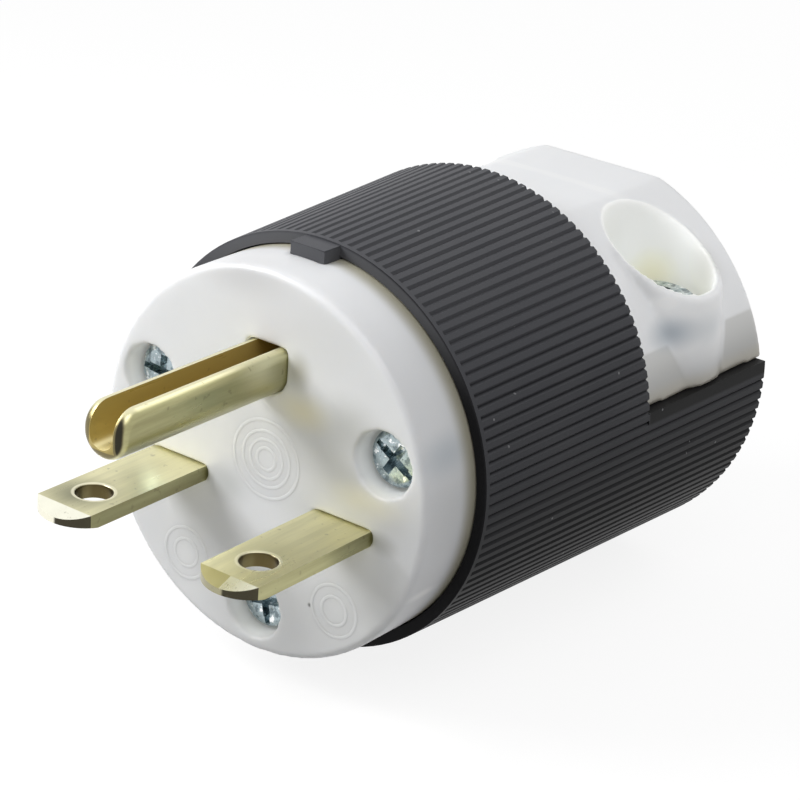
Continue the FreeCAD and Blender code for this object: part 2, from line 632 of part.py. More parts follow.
def add_cover_bosses(body):
    """Bosses for the assembly screws, stops behind the terminal block and nut bosses."""
    bosses = sketch_on(body, "XZ_Plane", "cover_boss_plan", f"-{BULKHEAD_FRONT}")
    threads = sketch_on(body, "XZ_Plane", "cover_thread_plan", "-dims.flange_depth")
    for _, x, z in ASSEMBLY_SITES:
        circle(bosses, x, z, "dims.boss_radius")
        circle(threads, x, z, "dims.assembly_shank_radius + dims.thread_clearance")
    extrude(body, "Pad", bosses, "cover_bosses", f"{BULKHEAD_FRONT} - dims.flange_depth")
    extrude(body, "Pocket", threads, "cover_threads", "dims.boss_hole_end - dims.flange_depth")
    rib = sketch_on(body, "XZ_Plane", "stop_rib_plan", f"-{BULKHEAD_FRONT}")
    rib_top = "(dims.cover_bore + 0.5)"
    rectangle(rib, "-dims.stop_rib_width / 2", "dims.stop_rib_width / 2", "dims.stop_rib_reach", rib_top)
    length = f"{BULKHEAD_FRONT} - dims.block_rear - dims.block_clearance"
    first = extrude(body, "Pad", rib, "stop_rib", length)
    turn_copies(body, first, "stop_ribs", 360.0, "3")
    posts = sketch_on(body, "XY_Plane", "nut_boss_plan", "dims.ledge")
    bores = sketch_on(body, "XY_Plane", "nut_bore_plan", "dims.ledge")
    for _, sign in SIDES:
        circle(posts, f"{sign} * dims.tower_x", "dims.tower_y", "dims.nut_boss_radius")
        circle(bores, f"{sign} * dims.tower_x", "dims.tower_y", "dims.clamp_hole_radius")
    extrude(body, "Pad", posts, "nut_bosses", "dims.nut_boss_depth", reverse=True)
    extrude(body, "Pocket", bores, "nut_bores", "dims.ledge - dims.clamp_screw_end + 1")
    slots = sketch_on(body, "XY_Plane", "nut_slot_plan", "dims.nut_top + dims.nut_clearance")
    half = "(dims.nut_size / 2 + dims.nut_clearance)"
    for _, sign in SIDES:
        middle = f"{sign} * dims.tower_x"
        near_side = f"{sign} * (dims.tower_x - dims.nut_boss_radius - 1)"
        far_side = f"{middle} + {sign} * {half}"
        low = f"dims.tower_y - {half}"
        high = f"dims.tower_y + {half}"
        ends = (near_side, far_side) if sign == "1" else (far_side, near_side)
        rectangle(slots, ends[0], ends[1], low, high)
    extrude(body, "Pocket", slots, "nut_slots", "dims.nut_height + 2 * dims.nut_clearance")


def add_cord_saddle(body):
    """Lower gripping ridges across the half shell and the cord hole through both walls."""
    for name, centre in (("front", "dims.jaw_front"), ("rear", "dims.jaw_rear")):
        ridge = sketch_on(body, "XZ_Plane", f"saddle_{name}_plan", f"-({centre} + dims.jaw_width / 2)")
        radius = "(dims.shell_wall_radius + 0.3)"
        half = f"sqrt({radius} * {radius} - dims.ledge * dims.ledge)"
        corners = [(f"-{half}", "dims.ledge"), (half, "dims.ledge")]
        outline(ridge, corners, {0: ("0", "0", 1, "y")})
        extrude(body, "Pad", ridge, f"saddle_{name}", "dims.jaw_width")
        jaw = sketch_on(body, "XZ_Plane", f"saddle_{name}_jaw_plan", f"-({centre} - dims.jaw_width / 2)")
        circle(jaw, "0", "dims.ledge", "dims.jaw_radius")
        extrude(body, "Pocket", jaw, f"saddle_{name}_jaw", "dims.jaw_width")
    for name, start, depth in (
        ("bulkhead", BULKHEAD_FRONT, "dims.bulkhead"),
        ("rear", REAR_WALL_FRONT, "dims.rear_wall"),
    ):
        hole = sketch_on(body, "XZ_Plane", f"cord_{name}_plan", f"-{start}")
        circle(hole, "0", "dims.ledge", "dims.cord_hole_radius")
        extrude(body, "Pocket", hole, f"cord_{name}_hole", depth)


def clamp_outline(sketch, half, top_half, top, low):
    """Arched section of the clamp with a flat top and round shoulders."""
    span = f"({top} - {low})"
    squares = f"({top_half} * {top_half} + {top} * {top} - {half} * {half} - {low} * {low})"
    centre = f"({squares} / (2 * {span}))"
    corners = [(f"-{half}", low), (half, low), (top_half, top), (f"-{top_half}", top)]
    outline(sketch, corners, {1: ("0", centre, 1, "x"), 3: ("0", centre, 1, "x")})


def make_cord_clamp():
    """Arched upper jaw with two screw towers, hollow inside, seated on the cover's ledge."""
    body = new_body("cord_clamp")
    front = sketch_on(body, "XZ_Plane", "clamp_front_section", f"-{CLAMP_FRONT}")
    clamp_outline(front, "dims.clamp_front_half", "dims.clamp_top_half", "dims.clamp_top", "dims.ledge")
    growth = f"((dims.clamp_rear_half - dims.clamp_front_half) / (dims.clamp_rear - {CLAMP_FRONT}))"
    sections = []
    for step in range(ROUNDING_STEPS + 1):
        turn = math.pi / 2 * step / ROUNDING_STEPS
        back = f"(dims.clamp_edge_round * {1 - math.sin(turn):.6f})"
        inset = f"(dims.clamp_edge_round * {1 - math.cos(turn):.6f})"
        section = sketch_on(body, "XZ_Plane", f"clamp_rear_section_{step}", f"-(dims.clamp_rear - {back})")
        half = f"(dims.clamp_rear_half - {growth} * {back} - {inset})"
        top_half = f"(dims.clamp_top_half - {inset} / 3)"
        clamp_outline(section, half, top_half, f"(dims.clamp_top - {inset})", "dims.ledge")
        sections.append(section)
    arch = body.newObject("PartDesign::AdditiveLoft", "clamp_arch")
    arch.Profile = front
    arch.Sections = sections
    arch.Ruled = True
    inner_front = sketch_on(body, "XZ_Plane", "clamp_inner_front", f"-({CLAMP_FRONT} + dims.clamp_wall)")
    inner_rear = sketch_on(body, "XZ_Plane", "clamp_inner_rear", f"-{REAR_WALL_FRONT}")
    for sketch, half in ((inner_front, "dims.clamp_front_half"), (inner_rear, "dims.clamp_rear_half")):
        inner_half = f"({half} - dims.clamp_wall)"
        inner_top = "(dims.clamp_top - dims.clamp_wall)"
        clamp_outline(sketch, inner_half, "dims.clamp_top_half * 0.9", inner_top, "dims.ledge")
    hollow = body.newObject("PartDesign::SubtractiveLoft", "clamp_hollow")
    hollow.Profile = inner_front
    hollow.Sections = [inner_rear]
    hollow.Ruled = True
    for name, centre in (("front", "dims.jaw_front"), ("rear", "dims.jaw_rear")):
        ridge = sketch_on(body, "XZ_Plane", f"jaw_{name}_plan", f"-({centre} + dims.jaw_width / 2)")
        half = "(dims.clamp_top_half + 1)"
        rectangle(ridge, f"-{half}", half, "dims.ledge", "dims.clamp_top - 1")
        extrude(body, "Pad", ridge, f"jaw_{name}", "dims.jaw_width")
        jaw = sketch_on(body, "XZ_Plane", f"jaw_{name}_cut_plan", f"-({centre} - dims.jaw_width / 2)")
        circle(jaw, "0", "dims.ledge", "dims.jaw_radius")
        extrude(body, "Pocket", jaw, f"jaw_{name}_cut", "dims.jaw_width")
    towers = sketch_on(body, "XY_Plane", "tower_plan", "dims.ledge")
    pockets = sketch_on(body, "XY_Plane", "tower_pocket_plan", "dims.tower_floor")
    holes = sketch_on(body, "XY_Plane", "tower_hole_plan", "dims.tower_floor")
    for _, sign in SIDES:
        x = f"{sign} * dims.tower_x"
        circle(towers, x, "dims.tower_y", "dims.tower_radius")
        circle(pockets, x, "dims.tower_y", "dims.tower_pocket_radius")
        circle(holes, x, "dims.tower_y", "dims.clamp_hole_radius")
    raised = extrude(body, "Pad", towers, "clamp_towers", "dims.clamp_top + 1 - dims.ledge")
    raised.setExpression("TaperAngle", "-dims.tower_draft")
    slope = sketch_on(body, "XZ_Plane", "tower_slope_plan", "-dims.tower_y")
    outer = "(dims.tower_x + dims.tower_radius + 1)"
    above = "(dims.clamp_top + 2)"
    start = "(dims.clamp_top + dims.tower_step)"
    fall = f"(({outer} - dims.tower_slope_start) * tan(dims.tower_slope))"
    for sign in (1, -1):
        corners = [
            (f"{sign} * dims.tower_slope_start", start),
            (f"{sign} * {outer}", f"{start} - {fall}"),
            (f"{sign} * {outer}", above),
            (f"{sign} * dims.tower_slope_start", above),
        ]
        outline(slope, corners)
    extrude(body, "Pocket", slope, "tower_slopes", "2 * dims.tower_radius + 2", symmetric=True)
    extrude(body, "Pocket", pockets, "tower_pockets", "dims.clamp_top", reverse=True)
    extrude(body, "Pocket", holes, "tower_holes", "dims.tower_floor")
    for name, start, depth in (
        ("front", CLAMP_FRONT, "dims.clamp_wall"),
        ("rear", REAR_WALL_FRONT, f"dims.clamp_rear - {REAR_WALL_FRONT}"),
    ):
        hole = sketch_on(body, "XZ_Plane", f"clamp_{name}_hole_plan", f"-{start}")
        circle(hole, "0", "dims.ledge", "dims.cord_hole_radius")
        extrude(body, "Pocket", hole, f"clamp_{name}_hole", depth)


def make_assembly_screw(side, x, z):
    """Long screw from a pocket in the face into a boss of the cover."""
    body = new_body(f"assembly_screw_{side}")
    body.Placement.Rotation = FreeCAD.Rotation(FreeCAD.Vector(0, 1, 0), ASSEMBLY_TURNS[side])
    place(body, x=x, y="dims.head_pocket_depth", z=z)
    profile = sketch_on(body, "XY_Plane", f"assembly_{side}_profile")
    corners = [
        ("0", "-dims.assembly_head_height"),
        ("dims.assembly_head_radius", "-dims.assembly_head_height"),
        ("dims.assembly_head_radius", "0"),
        ("dims.assembly_shank_radius", "0"),
        ("dims.assembly_shank_radius", "dims.assembly_shank_length"),
        ("0", "dims.assembly_shank_length"),
    ]
    outline(profile, corners)
    turned = revolve(body, "Revolution", profile, f"assembly_{side}_turned")
    round_edges(
        body,
        turned,
        f"assembly_{side}_dome",
        "dims.head_round",
        lambda edge: edge.Curve.TypeId == "Part::GeomCircle"
        and flat_at(edge, "Y", "-dims.assembly_head_height"),
    )
    recess = sketch_on(body, "XZ_Plane", f"assembly_{side}_recess_plan", "dims.assembly_head_height")
    cross(recess, "0", "0", "(dims.recess_share * dims.assembly_head_radius)")
    extrude(body, "Pocket", recess, f"assembly_{side}_recess", "dims.recess_depth")
    slit = sketch_on(body, "XZ_Plane", f"assembly_{side}_slit_plan", "dims.assembly_head_height")
    reach = "(dims.slit_share * dims.assembly_head_radius)"
    rectangle(slit, f"-{reach}", reach, "-dims.slit_width / 2", "dims.slit_width / 2")
    extrude(body, "Pocket", slit, f"assembly_{side}_slit", "dims.slit_depth")


def make_upright_screw(name, site, seat, head, shank_radius, length, up=1):
    """Screw on a vertical axis. The head is a radius, a height and a rounding. up is 1 where
    the head is above its seat and -1 below."""
    head_radius, head_height, rounding = head
    body = new_body(name)
    place(body, x=site[0], y=site[1], z=seat)
    profile = sketch_on(body, "XZ_Plane", f"{name}_profile")
    crown = f"{up} * {head_height}"
    foot = f"{-up} * {length}"
    corners = [
        ("0", crown),
        (head_radius, crown),
        (head_radius, "0"),
        (shank_radius, "0"),
        (shank_radius, foot),
        ("0", foot),
    ]
    outline(profile, corners)
    turned = revolve(body, "Revolution", profile, f"{name}_turned")
    round_edges(
        body,
        turned,
        f"{name}_dome",
        rounding,
        lambda edge: edge.Curve.TypeId == "Part::GeomCircle" and flat_at(edge, "Z", crown),
    )
    recess = sketch_on(body, "XY_Plane", f"{name}_recess_plan", crown)
    cross(recess, "0", "0", f"(dims.recess_share * {head_radius})")
    extrude(body, "Pocket", recess, f"{name}_recess", "dims.recess_depth", reverse=up < 0)


def make_pressure_plate(name, x, level, width, up=1):
    """Square plate that presses the wire on its conductor. up is 1 where it rises from its level."""
    body = new_body(name)
    place(body, x=x, y="dims.terminal_y", z=level)
    plan = sketch_on(body, "XY_Plane", f"{name}_plan")
    rectangle(plan, f"-{width} / 2", f"{width} / 2", "-dims.plate_length / 2", "dims.plate_length / 2")
    slab = extrude(body, "Pad", plan, f"{name}_slab", "dims.plate_thickness", reverse=up < 0)
    wire_edge = edges_where(
        slab, lambda edge: flat_at(edge, "Y", "dims.plate_length / 2") and flat_at(edge, "Z", "0")
    )
    bevel = body.newObject("PartDesign::Chamfer", f"{name}_bevel")
    bevel.Base = (slab, wire_edge)
    bevel.setExpression("Size", "dims.plate_bevel")
    hole = sketch_on(body, "XY_Plane", f"{name}_hole_plan")
    circle(hole, "0", "0", "dims.terminal_screw_radius + dims.plate_hole_play")
    extrude(body, "Pocket", hole, f"{name}_hole", "2.5 * dims.plate_thickness", symmetric=True)


def make_clamp_nut(side, sign):
    """Square nut that a clamp screw threads into, held in a slot of the cover."""
    body = new_body(f"clamp_nut_{side}")
    place(body, x=f"{sign} * dims.tower_x", y="dims.tower_y", z="dims.nut_top - dims.nut_height")
    plan = sketch_on(body, "XY_Plane", f"nut_{side}_plan")
    half = "(dims.nut_size / 2)"
    rectangle(plan, f"-{half}", half, f"-{half}", half)
    circle(plan, "0", "0", "dims.clamp_screw_radius + dims.thread_clearance")
    extrude(body, "Pad", plan, f"nut_{side}_block", "dims.nut_height")


make_front_body()
make_cover()
make_cord_clamp()
make_terminal_block()
make_ground_pin()
for side_name, side_sign in SIDES:
    make_line_blade(side_name, side_sign)
    make_clamp_nut(side_name, side_sign)
    make_upright_screw(
        f"clamp_screw_{side_name}",
        (f"{side_sign} * dims.tower_x", "dims.tower_y"),
        "dims.tower_floor",
        ("dims.clamp_head_radius", "dims.clamp_head_height", "dims.clamp_head_round"),
        "dims.clamp_screw_radius",
        "(dims.tower_floor - dims.clamp_screw_end)",
    )
    make_pressure_plate(
        f"pressure_plate_{side_name}",
        f"{side_sign} * dims.blade_offset",
        LINE_PLATE,
        "dims.plate_width",
        up=-1,
    )
    make_upright_screw(
        f"terminal_screw_{side_name}",
        (f"{side_sign} * dims.blade_offset", "dims.terminal_y"),
        f"{LINE_PLATE} - dims.plate_thickness",
        TERMINAL_HEAD,
        "dims.terminal_screw_radius",
        "(dims.plate_thickness + dims.wire_gap + dims.blade_thickness + dims.terminal_screw_over)",
        up=-1,
    )
make_pressure_plate("pressure_plate_ground", "0", GROUND_PLATE, "dims.ground_plate_width")
make_upright_screw(
    "terminal_screw_ground",
    ("0", "dims.terminal_y"),
    f"{GROUND_PLATE} + dims.plate_thickness",
    TERMINAL_HEAD,
    "dims.terminal_screw_radius",
    "(dims.plate_thickness + dims.wire_gap + dims.pin_sheet + dims.terminal_screw_over)",
)
for site_name, site_x, site_z in ASSEMBLY_SITES:
    make_assembly_screw(site_name, site_x, site_z)

doc.recompute()
for item in doc.Objects:
    if "Invalid" in item.State or "Error" in item.State:
        raise RuntimeError(f"{item.Name} failed: {item.State}")
for part in parts:
    if part.Shape.isNull() or not part.Shape.isValid() or len(part.Shape.Solids) != 1:
        raise RuntimeError(f"{part.Label} is not one valid solid")

os.makedirs("parts", exist_ok=True)
for part in parts:
    part.Shape.exportStep(f"parts/{part.Label}.step")
    print(part.Label, round(part.Shape.Volume, 1))
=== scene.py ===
import math

import bmesh
import bpy
import numpy as np
from mathutils import Matrix, Vector


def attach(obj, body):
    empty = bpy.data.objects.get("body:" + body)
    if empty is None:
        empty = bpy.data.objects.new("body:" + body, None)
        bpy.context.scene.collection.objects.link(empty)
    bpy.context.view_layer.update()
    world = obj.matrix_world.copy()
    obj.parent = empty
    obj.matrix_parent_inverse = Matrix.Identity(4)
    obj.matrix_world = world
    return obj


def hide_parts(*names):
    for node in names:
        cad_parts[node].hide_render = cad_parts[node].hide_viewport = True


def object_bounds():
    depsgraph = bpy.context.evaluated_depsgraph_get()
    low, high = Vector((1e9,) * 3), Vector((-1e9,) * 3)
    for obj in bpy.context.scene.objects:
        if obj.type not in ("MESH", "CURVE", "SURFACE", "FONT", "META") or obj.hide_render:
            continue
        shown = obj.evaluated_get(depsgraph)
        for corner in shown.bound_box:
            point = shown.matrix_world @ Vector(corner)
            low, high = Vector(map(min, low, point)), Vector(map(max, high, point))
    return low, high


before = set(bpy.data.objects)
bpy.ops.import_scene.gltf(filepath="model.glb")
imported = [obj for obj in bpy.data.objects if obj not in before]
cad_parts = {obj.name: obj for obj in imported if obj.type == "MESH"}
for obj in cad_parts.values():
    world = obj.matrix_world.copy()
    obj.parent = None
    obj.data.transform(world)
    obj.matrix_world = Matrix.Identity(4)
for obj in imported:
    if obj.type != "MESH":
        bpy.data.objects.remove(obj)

bl_info = {
    "name": "Grounding plug finisher",
    "version": (1, 0, 0),
    "blender": (4, 5, 0),
    "location": "3D View > Sidebar > Plug",
    "description": "Finishes and raised rings for a ribbed plug with a white cord clamp",
    "category": "Object",
}

MM = 0.001
LOADED_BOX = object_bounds()
BLADES = ("line_blade_left", "line_blade_right")
PLATES = ("pressure_plate_left", "pressure_plate_right", "pressure_plate_ground")
WIRE_SCREWS = ("terminal_screw_left", "terminal_screw_right")
FACE_SCREWS = ("assembly_screw_left", "assembly_screw_right", "assembly_screw_lower")
CLAMP_SCREWS = ("clamp_screw_left", "clamp_screw_right")
CLAMP_NUTS = ("clamp_nut_left", "clamp_nut_right")
# Cover: how its radius grows along Y, and its radius at the plane of the face
COVER_SLOPE = (21.4 - 19.6) / (51.2 - 7.05)
COVER_START = (19.6 - 7.05 * COVER_SLOPE) * MM
# Detent holes in the blades
HOLE_PLACE = (9.45 * MM, -11.2 * MM, 0.0)
HOLE_RADIUS = 1.68 * MM
# Moulded copies: mesh size, rounds of softening, and how deep light reaches into the nylon
MOULD_CELL = 0.3 * MM
FACE_ROUNDS = 6
CLAMP_ROUNDS = 9
FACE_DEPTH = 1.2 * MM
CLAMP_DEPTH = 2.0 * MM
# Raised rings: radii as shares of the outermost, places on the face and shade of the nylon
LARGE_RINGS = (1.0, 0.72, 0.5, 0.28)
SMALL_RINGS = (1.0, 0.55)
LARGE_PLACE = (0.6 * MM, 0.7 * MM)
LOW_RINGS = ((-8.2 * MM, -11.6 * MM), (9.2 * MM, -11.2 * MM))
RING_SHADE = 0.93
# Floor: half its side, and its gap below the plug
FLOOR_HALF = 1.5
FLOOR_GAP = 0.2 * MM


# Node building

def new_material(name):
    """A node material with its node tree and its shader."""
    material = bpy.data.materials.new(name)
    material.use_nodes = True
    return material, material.node_tree, material.node_tree.nodes["Principled BSDF"]


def add_node(tree, kind, inputs=None, **settings):
    """A node with its settings, whose inputs take a value or another node's output."""
    node = tree.nodes.new(kind)
    for key, value in settings.items():
        setattr(node, key, value)
    for key, value in (inputs or {}).items():
        if isinstance(value, bpy.types.NodeSocket):
            tree.links.new(value, node.inputs[key])
        else:
            node.inputs[key].default_value = value
    return node


def object_point(tree):
    """The object coordinates, in metres."""
    return add_node(tree, "ShaderNodeTexCoord").outputs["Object"]


def math_node(tree, operation, first, second=0.0, third=0.0):
    """One arithmetic step on up to three values."""
    values = {0: first, 1: second, 2: third}
    return add_node(tree, "ShaderNodeMath", values, operation=operation).outputs[0]


def times(tree, first, second):
    """The product of two values."""
    return math_node(tree, "MULTIPLY", first, second)


def span(tree, value, low, high, start=0.0, end=1.0):
    """value from low to high mapped on to start to end with soft ends."""
    node = add_node(
        tree,
        "ShaderNodeMapRange",
        {"Value": value, "From Min": low, "From Max": high, "To Min": start, "To Max": end},
        interpolation_type="SMOOTHSTEP",
    )
    return node.outputs["Result"]


def mix_colour(tree, factor, first, second):
    """Two colours mixed by a factor."""
    node = add_node(tree, "ShaderNodeMix", data_type="RGBA", blend_type="MIX")
    for key, value in ((0, factor), (6, first), (7, second)):
        if isinstance(value, bpy.types.NodeSocket):
            tree.links.new(value, node.inputs[key])
        else:
            node.inputs[key].default_value = value
    return node.outputs[2]


def noise(tree, point, scale, detail=3.0, roughness=0.5):
    """Smooth noise from 0 to 1."""
    node = add_node(
        tree,
        "ShaderNodeTexNoise",
        {"Vector": point, "Scale": scale, "Detail": detail, "Roughness": roughness},
    )
    return node.outputs["Fac"]


def group_tree(name, inputs, outputs):
    """A shader node group with named float inputs and outputs, and its two end nodes."""
    tree = bpy.data.node_groups.new(name, "ShaderNodeTree")
    for label, default in inputs:
        socket = tree.interface.new_socket(label, in_out="INPUT", socket_type="NodeSocketFloat")
        socket.default_value = default
    for label in outputs:
        tree.interface.new_socket(label, in_out="OUTPUT", socket_type="NodeSocketFloat")
    return tree, tree.nodes.new("NodeGroupInput"), tree.nodes.new("NodeGroupOutput")


def moulded_surface():
    """Moulded plastic: a slow cloud, a fine grain height and the roughness that goes with them."""
    found = bpy.data.node_groups.get("moulded surface")
    if found:
        return found
    tree, given, result = group_tree(
        "moulded surface",
        [("Grain Scale", 4000.0), ("Cloud Scale", 120.0), ("Roughness", 0.4), ("Spread", 0.08)],
        ["Cloud", "Height", "Roughness"],
    )
    point = object_point(tree)
    cloud = noise(tree, point, given.outputs["Cloud Scale"], 3.0)
    grain = noise(tree, point, given.outputs["Grain Scale"], 2.0)
    waves = noise(tree, point, given.outputs["Cloud Scale"], 1.0)
    height = math_node(tree, "ADD", times(tree, grain, 0.35), waves)
    fine = noise(tree, point, given.outputs["Cloud Scale"], 5.0, 0.7)
    spread = times(tree, math_node(tree, "SUBTRACT", fine, 0.5), given.outputs["Spread"])
    rough = math_node(tree, "ADD", given.outputs["Roughness"], spread)
    for label, value in (("Cloud", cloud), ("Height", height), ("Roughness", rough)):
        tree.links.new(value, result.inputs[label])
    return tree


def rubbed_metal():
    """Rolled and handled metal: streaks along Y, small pits and the roughness between them."""
    found = bpy.data.node_groups.get("rubbed metal")
    if found:
        return found
    tree, given, result = group_tree(
        "rubbed metal",
        [("Streak Scale", 900.0), ("Pit Scale", 1400.0), ("Roughness", 0.25), ("Spread", 0.15)],
        ["Streaks", "Pits", "Height", "Roughness"],
    )
    point = object_point(tree)
    stretched = add_node(
        tree, "ShaderNodeMapping", {"Vector": point, "Scale": (1.0, 0.06, 1.0)}
    ).outputs["Vector"]
    streaks = noise(tree, stretched, given.outputs["Streak Scale"], 4.0, 0.6)
    pits = span(tree, noise(tree, point, given.outputs["Pit Scale"], 2.0), 0.66, 0.74)
    height = math_node(tree, "SUBTRACT", streaks, times(tree, pits, 0.6))
    spread = times(tree, math_node(tree, "SUBTRACT", streaks, 0.5), given.outputs["Spread"])
    rough = math_node(tree, "ADD", given.outputs["Roughness"], spread)
    found = {"Streaks": streaks, "Pits": pits, "Height": height, "Roughness": rough}
    for label, value in found.items():
        tree.links.new(value, result.inputs[label])
    return tree


def soft_patch():
    """1 at Centre, fading softly to 0 at the distance Reach from it, in metres along each axis."""
    found = bpy.data.node_groups.get("soft patch")
    if found:
        return found
    tree = bpy.data.node_groups.new("soft patch", "ShaderNodeTree")
    for label in ("Point", "Centre", "Reach"):
        tree.interface.new_socket(label, in_out="INPUT", socket_type="NodeSocketVector")
    tree.interface.new_socket("Mask", in_out="OUTPUT", socket_type="NodeSocketFloat")
    given, result = tree.nodes.new("NodeGroupInput"), tree.nodes.new("NodeGroupOutput")
    away = vector_node(tree, "SUBTRACT", given.outputs["Point"], given.outputs["Centre"])
    share = vector_node(tree, "DIVIDE", away.outputs[0], given.outputs["Reach"])
    distance = vector_node(tree, "LENGTH", share.outputs[0], (0.0, 0.0, 0.0)).outputs["Value"]
    tree.links.new(span(tree, distance, 0.0, 1.0, 1.0, 0.0), result.inputs["Mask"])
    return tree


def facing_sides():
    """How far a surface faces up, ahead along the blades and sideways, from its normal."""
    found = bpy.data.node_groups.get("facing sides")
    if found:
        return found
    tree, given, result = group_tree(
        "facing sides", [("Level", 0.75), ("Width", 0.25)], ["Up", "Ahead", "Sideways"]
    )
    parts = separate(tree, add_node(tree, "ShaderNodeTexCoord").outputs["Normal"])
    level = given.outputs["Level"]
    start = math_node(tree, "SUBTRACT", level, given.outputs["Width"])
    sideways = math_node(tree, "ABSOLUTE", parts.outputs["X"])
    ahead = times(tree, parts.outputs["Y"], -1.0)
    for label, value in (("Up", parts.outputs["Z"]), ("Ahead", ahead), ("Sideways", sideways)):
        node = add_node(
            tree,
            "ShaderNodeMapRange",
            {"Value": value, "From Min": start, "From Max": level},
            interpolation_type="SMOOTHSTEP",
        )
        tree.links.new(node.outputs["Result"], result.inputs[label])
    return tree


def vector_node(tree, operation, first, second):
    """One step on vectors."""
    return add_node(tree, "ShaderNodeVectorMath", {0: first, 1: second}, operation=operation)


def separate(tree, point):
    """The node that gives a point's coordinates one by one."""
    return add_node(tree, "ShaderNodeSeparateXYZ", {0: point})


def flat_point(tree, parts, axes):
    """A point's coordinates along two axes, with the third at zero."""
    kept = {axis: parts.outputs[axis] for axis in axes}
    return add_node(tree, "ShaderNodeCombineXYZ", kept).outputs[0]


def facing(tree, side, **values):
    """How far the surface faces one side, with the level and width at which that counts."""
    return place_group(tree, facing_sides(), **values).outputs[side]


def both_sides(tree):
    """The object coordinates with X made positive, so that a pattern is the same on both sides."""
    parts = separate(tree, object_point(tree))
    mirrored = {axis: parts.outputs[axis] for axis in "YZ"}
    mirrored["X"] = math_node(tree, "ABSOLUTE", parts.outputs["X"])
    return add_node(tree, "ShaderNodeCombineXYZ", mirrored).outputs[0]


def shade_patches(tree, point, base, patches):
    """The base colour with soft patches, each a centre and reach in mm, a colour and its amount."""
    for centre, reach, colour, amount in patches:
        size = {"Centre": [c * MM for c in centre], "Reach": [c * MM for c in reach]}
        patch = place_group(tree, soft_patch(), **size)
        tree.links.new(point, patch.inputs["Point"])
        share = times(tree, patch.outputs["Mask"], amount)
        base = mix_colour(tree, share, base, colour + (1,))
    return base


def place_group(tree, group, **values):
    """The group's node in a material, with its values."""
    node = tree.nodes.new("ShaderNodeGroup")
    node.node_tree = group
    for key, value in values.items():
        node.inputs[key.replace("_", " ")].default_value = value
    return node


def bump(tree, shader, height, strength, distance):
    """Height of a surface turned into its normal."""
    values = {"Height": height, "Strength": strength, "Distance": distance}
    node = add_node(tree, "ShaderNodeBump", values)
    tree.links.new(node.outputs["Normal"], shader.inputs["Normal"])


def shaded(colour, share):
    """The colour at a share of its brightness."""
    return [c * share for c in colour[:3]] + [1]


def wear(node_names, material):
    """The material on the CAD nodes of those names."""
    for name in node_names:
        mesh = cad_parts[name].data
        mesh.materials.clear()
        mesh.materials.append(material)


# Finishes

# Face patches: tints from the parts behind the milky wall, painted shadows of the pin and blades,
# painted shade on the flange's right side, painted yellow reflections of the pin and the right
# blade, a painted highlight on the rim and a dark speck: centre, reach, colour, amount
FACE_TINTS_AND_PAINTED_LIGHT = (
    ((4.4, 0.0, 6.5), (4.4, 2.6, 2.5), (0.97, 0.90, 0.62), 0.6),
    ((3.6, 0.0, 10.0), (2.0, 2.6, 2.4), (0.46, 0.45, 0.38), 0.75),
    ((11.8, 0.0, 0.5), (5.4, 2.6, 2.1), (1.0, 0.97, 0.82), 0.7),
    ((13.9, 0.0, -3.0), (2.4, 2.6, 1.5), (0.42, 0.42, 0.39), 0.6),
    ((-3.8, 0.0, -3.2), (3.4, 2.6, 2.6), (0.5, 0.52, 0.5), 0.55),
    ((9.6, 0.0, 6.8), (4.8, 2.6, 3.6), (0.53, 0.54, 0.52), 0.6),
    ((5.0, 0.0, -2.4), (4.6, 2.6, 3.4), (0.62, 0.63, 0.6), 0.4),
    ((13.0, 0.0, -11.0), (7.0, 2.6, 6.5), (0.64, 0.65, 0.64), 0.4),
    ((18.3, 3.2, 0.8), (2.0, 5.0, 6.0), (0.62, 0.63, 0.63), 0.4),
    ((-4.0, 0.6, 18.0), (9.0, 6.0, 4.0), (0.56, 0.56, 0.57), 0.6),
    ((17.4, 3.4, 5.6), (3.0, 5.0, 2.7), (0.46, 0.52, 0.57), 0.55),
    # Painted highlight on the rim
    ((16.6, 2.6, -7.7), (1.0, 2.8, 0.9), (1.0, 1.0, 1.0), 0.95),
    ((6.46, 0.0, -11.58), (0.32, 0.6, 0.32), (0.12, 0.12, 0.12), 0.9),
)
# Clamp patches: tints from the screw and the parts behind the milky wall, yellow in the pocket,
# painted shade on the screw boss, on the pocket's right wall and low on the side, and a painted
# highlight on top of the boss: centre, reach, colour, amount
CLAMP_TINTS_AND_PAINTED_LIGHT = (
    ((18.2, 37.9, 7.7), (3.2, 4.6, 2.3), (0.26, 0.32, 0.38), 0.95),
    ((19.8, 41.5, 7.6), (2.4, 4.6, 2.2), (0.5, 0.54, 0.57), 0.55),
    ((17.2, 37.6, 10.6), (1.6, 2.6, 1.0), (1.0, 1.0, 1.0), 0.7),
    ((10.4, 46.3, 9.1), (3.8, 3.6, 4.2), (0.70, 0.67, 0.40), 0.85),
    ((15.0, 46.5, 8.5), (3.6, 3.0, 4.0), (0.86, 0.84, 0.66), 0.4),
    ((16.0, 47.0, 11.6), (3.8, 3.8, 4.8), (0.42, 0.42, 0.4), 0.6),
    ((18.8, 36.0, 4.4), (3.0, 4.0, 2.6), (0.44, 0.44, 0.42), 0.4),
)
# Darker patches on the blades, the first an olive patina at the left blade's tip: centre, reach,
# colour, amount
BLADE_DARK_PATCHES = (
    ((-10.2, -12.4, -2.2), (5.0, 4.8, 2.0), (0.2, 0.2, 0.125), 0.9),
    ((9.0, -10.0, -2.2), (3.6, 5.0, 2.0), (0.5, 0.48, 0.28), 0.5),
    ((-8.4, -2.0, -2.2), (4.0, 5.0, 2.0), (0.6, 0.57, 0.36), 0.5),
)
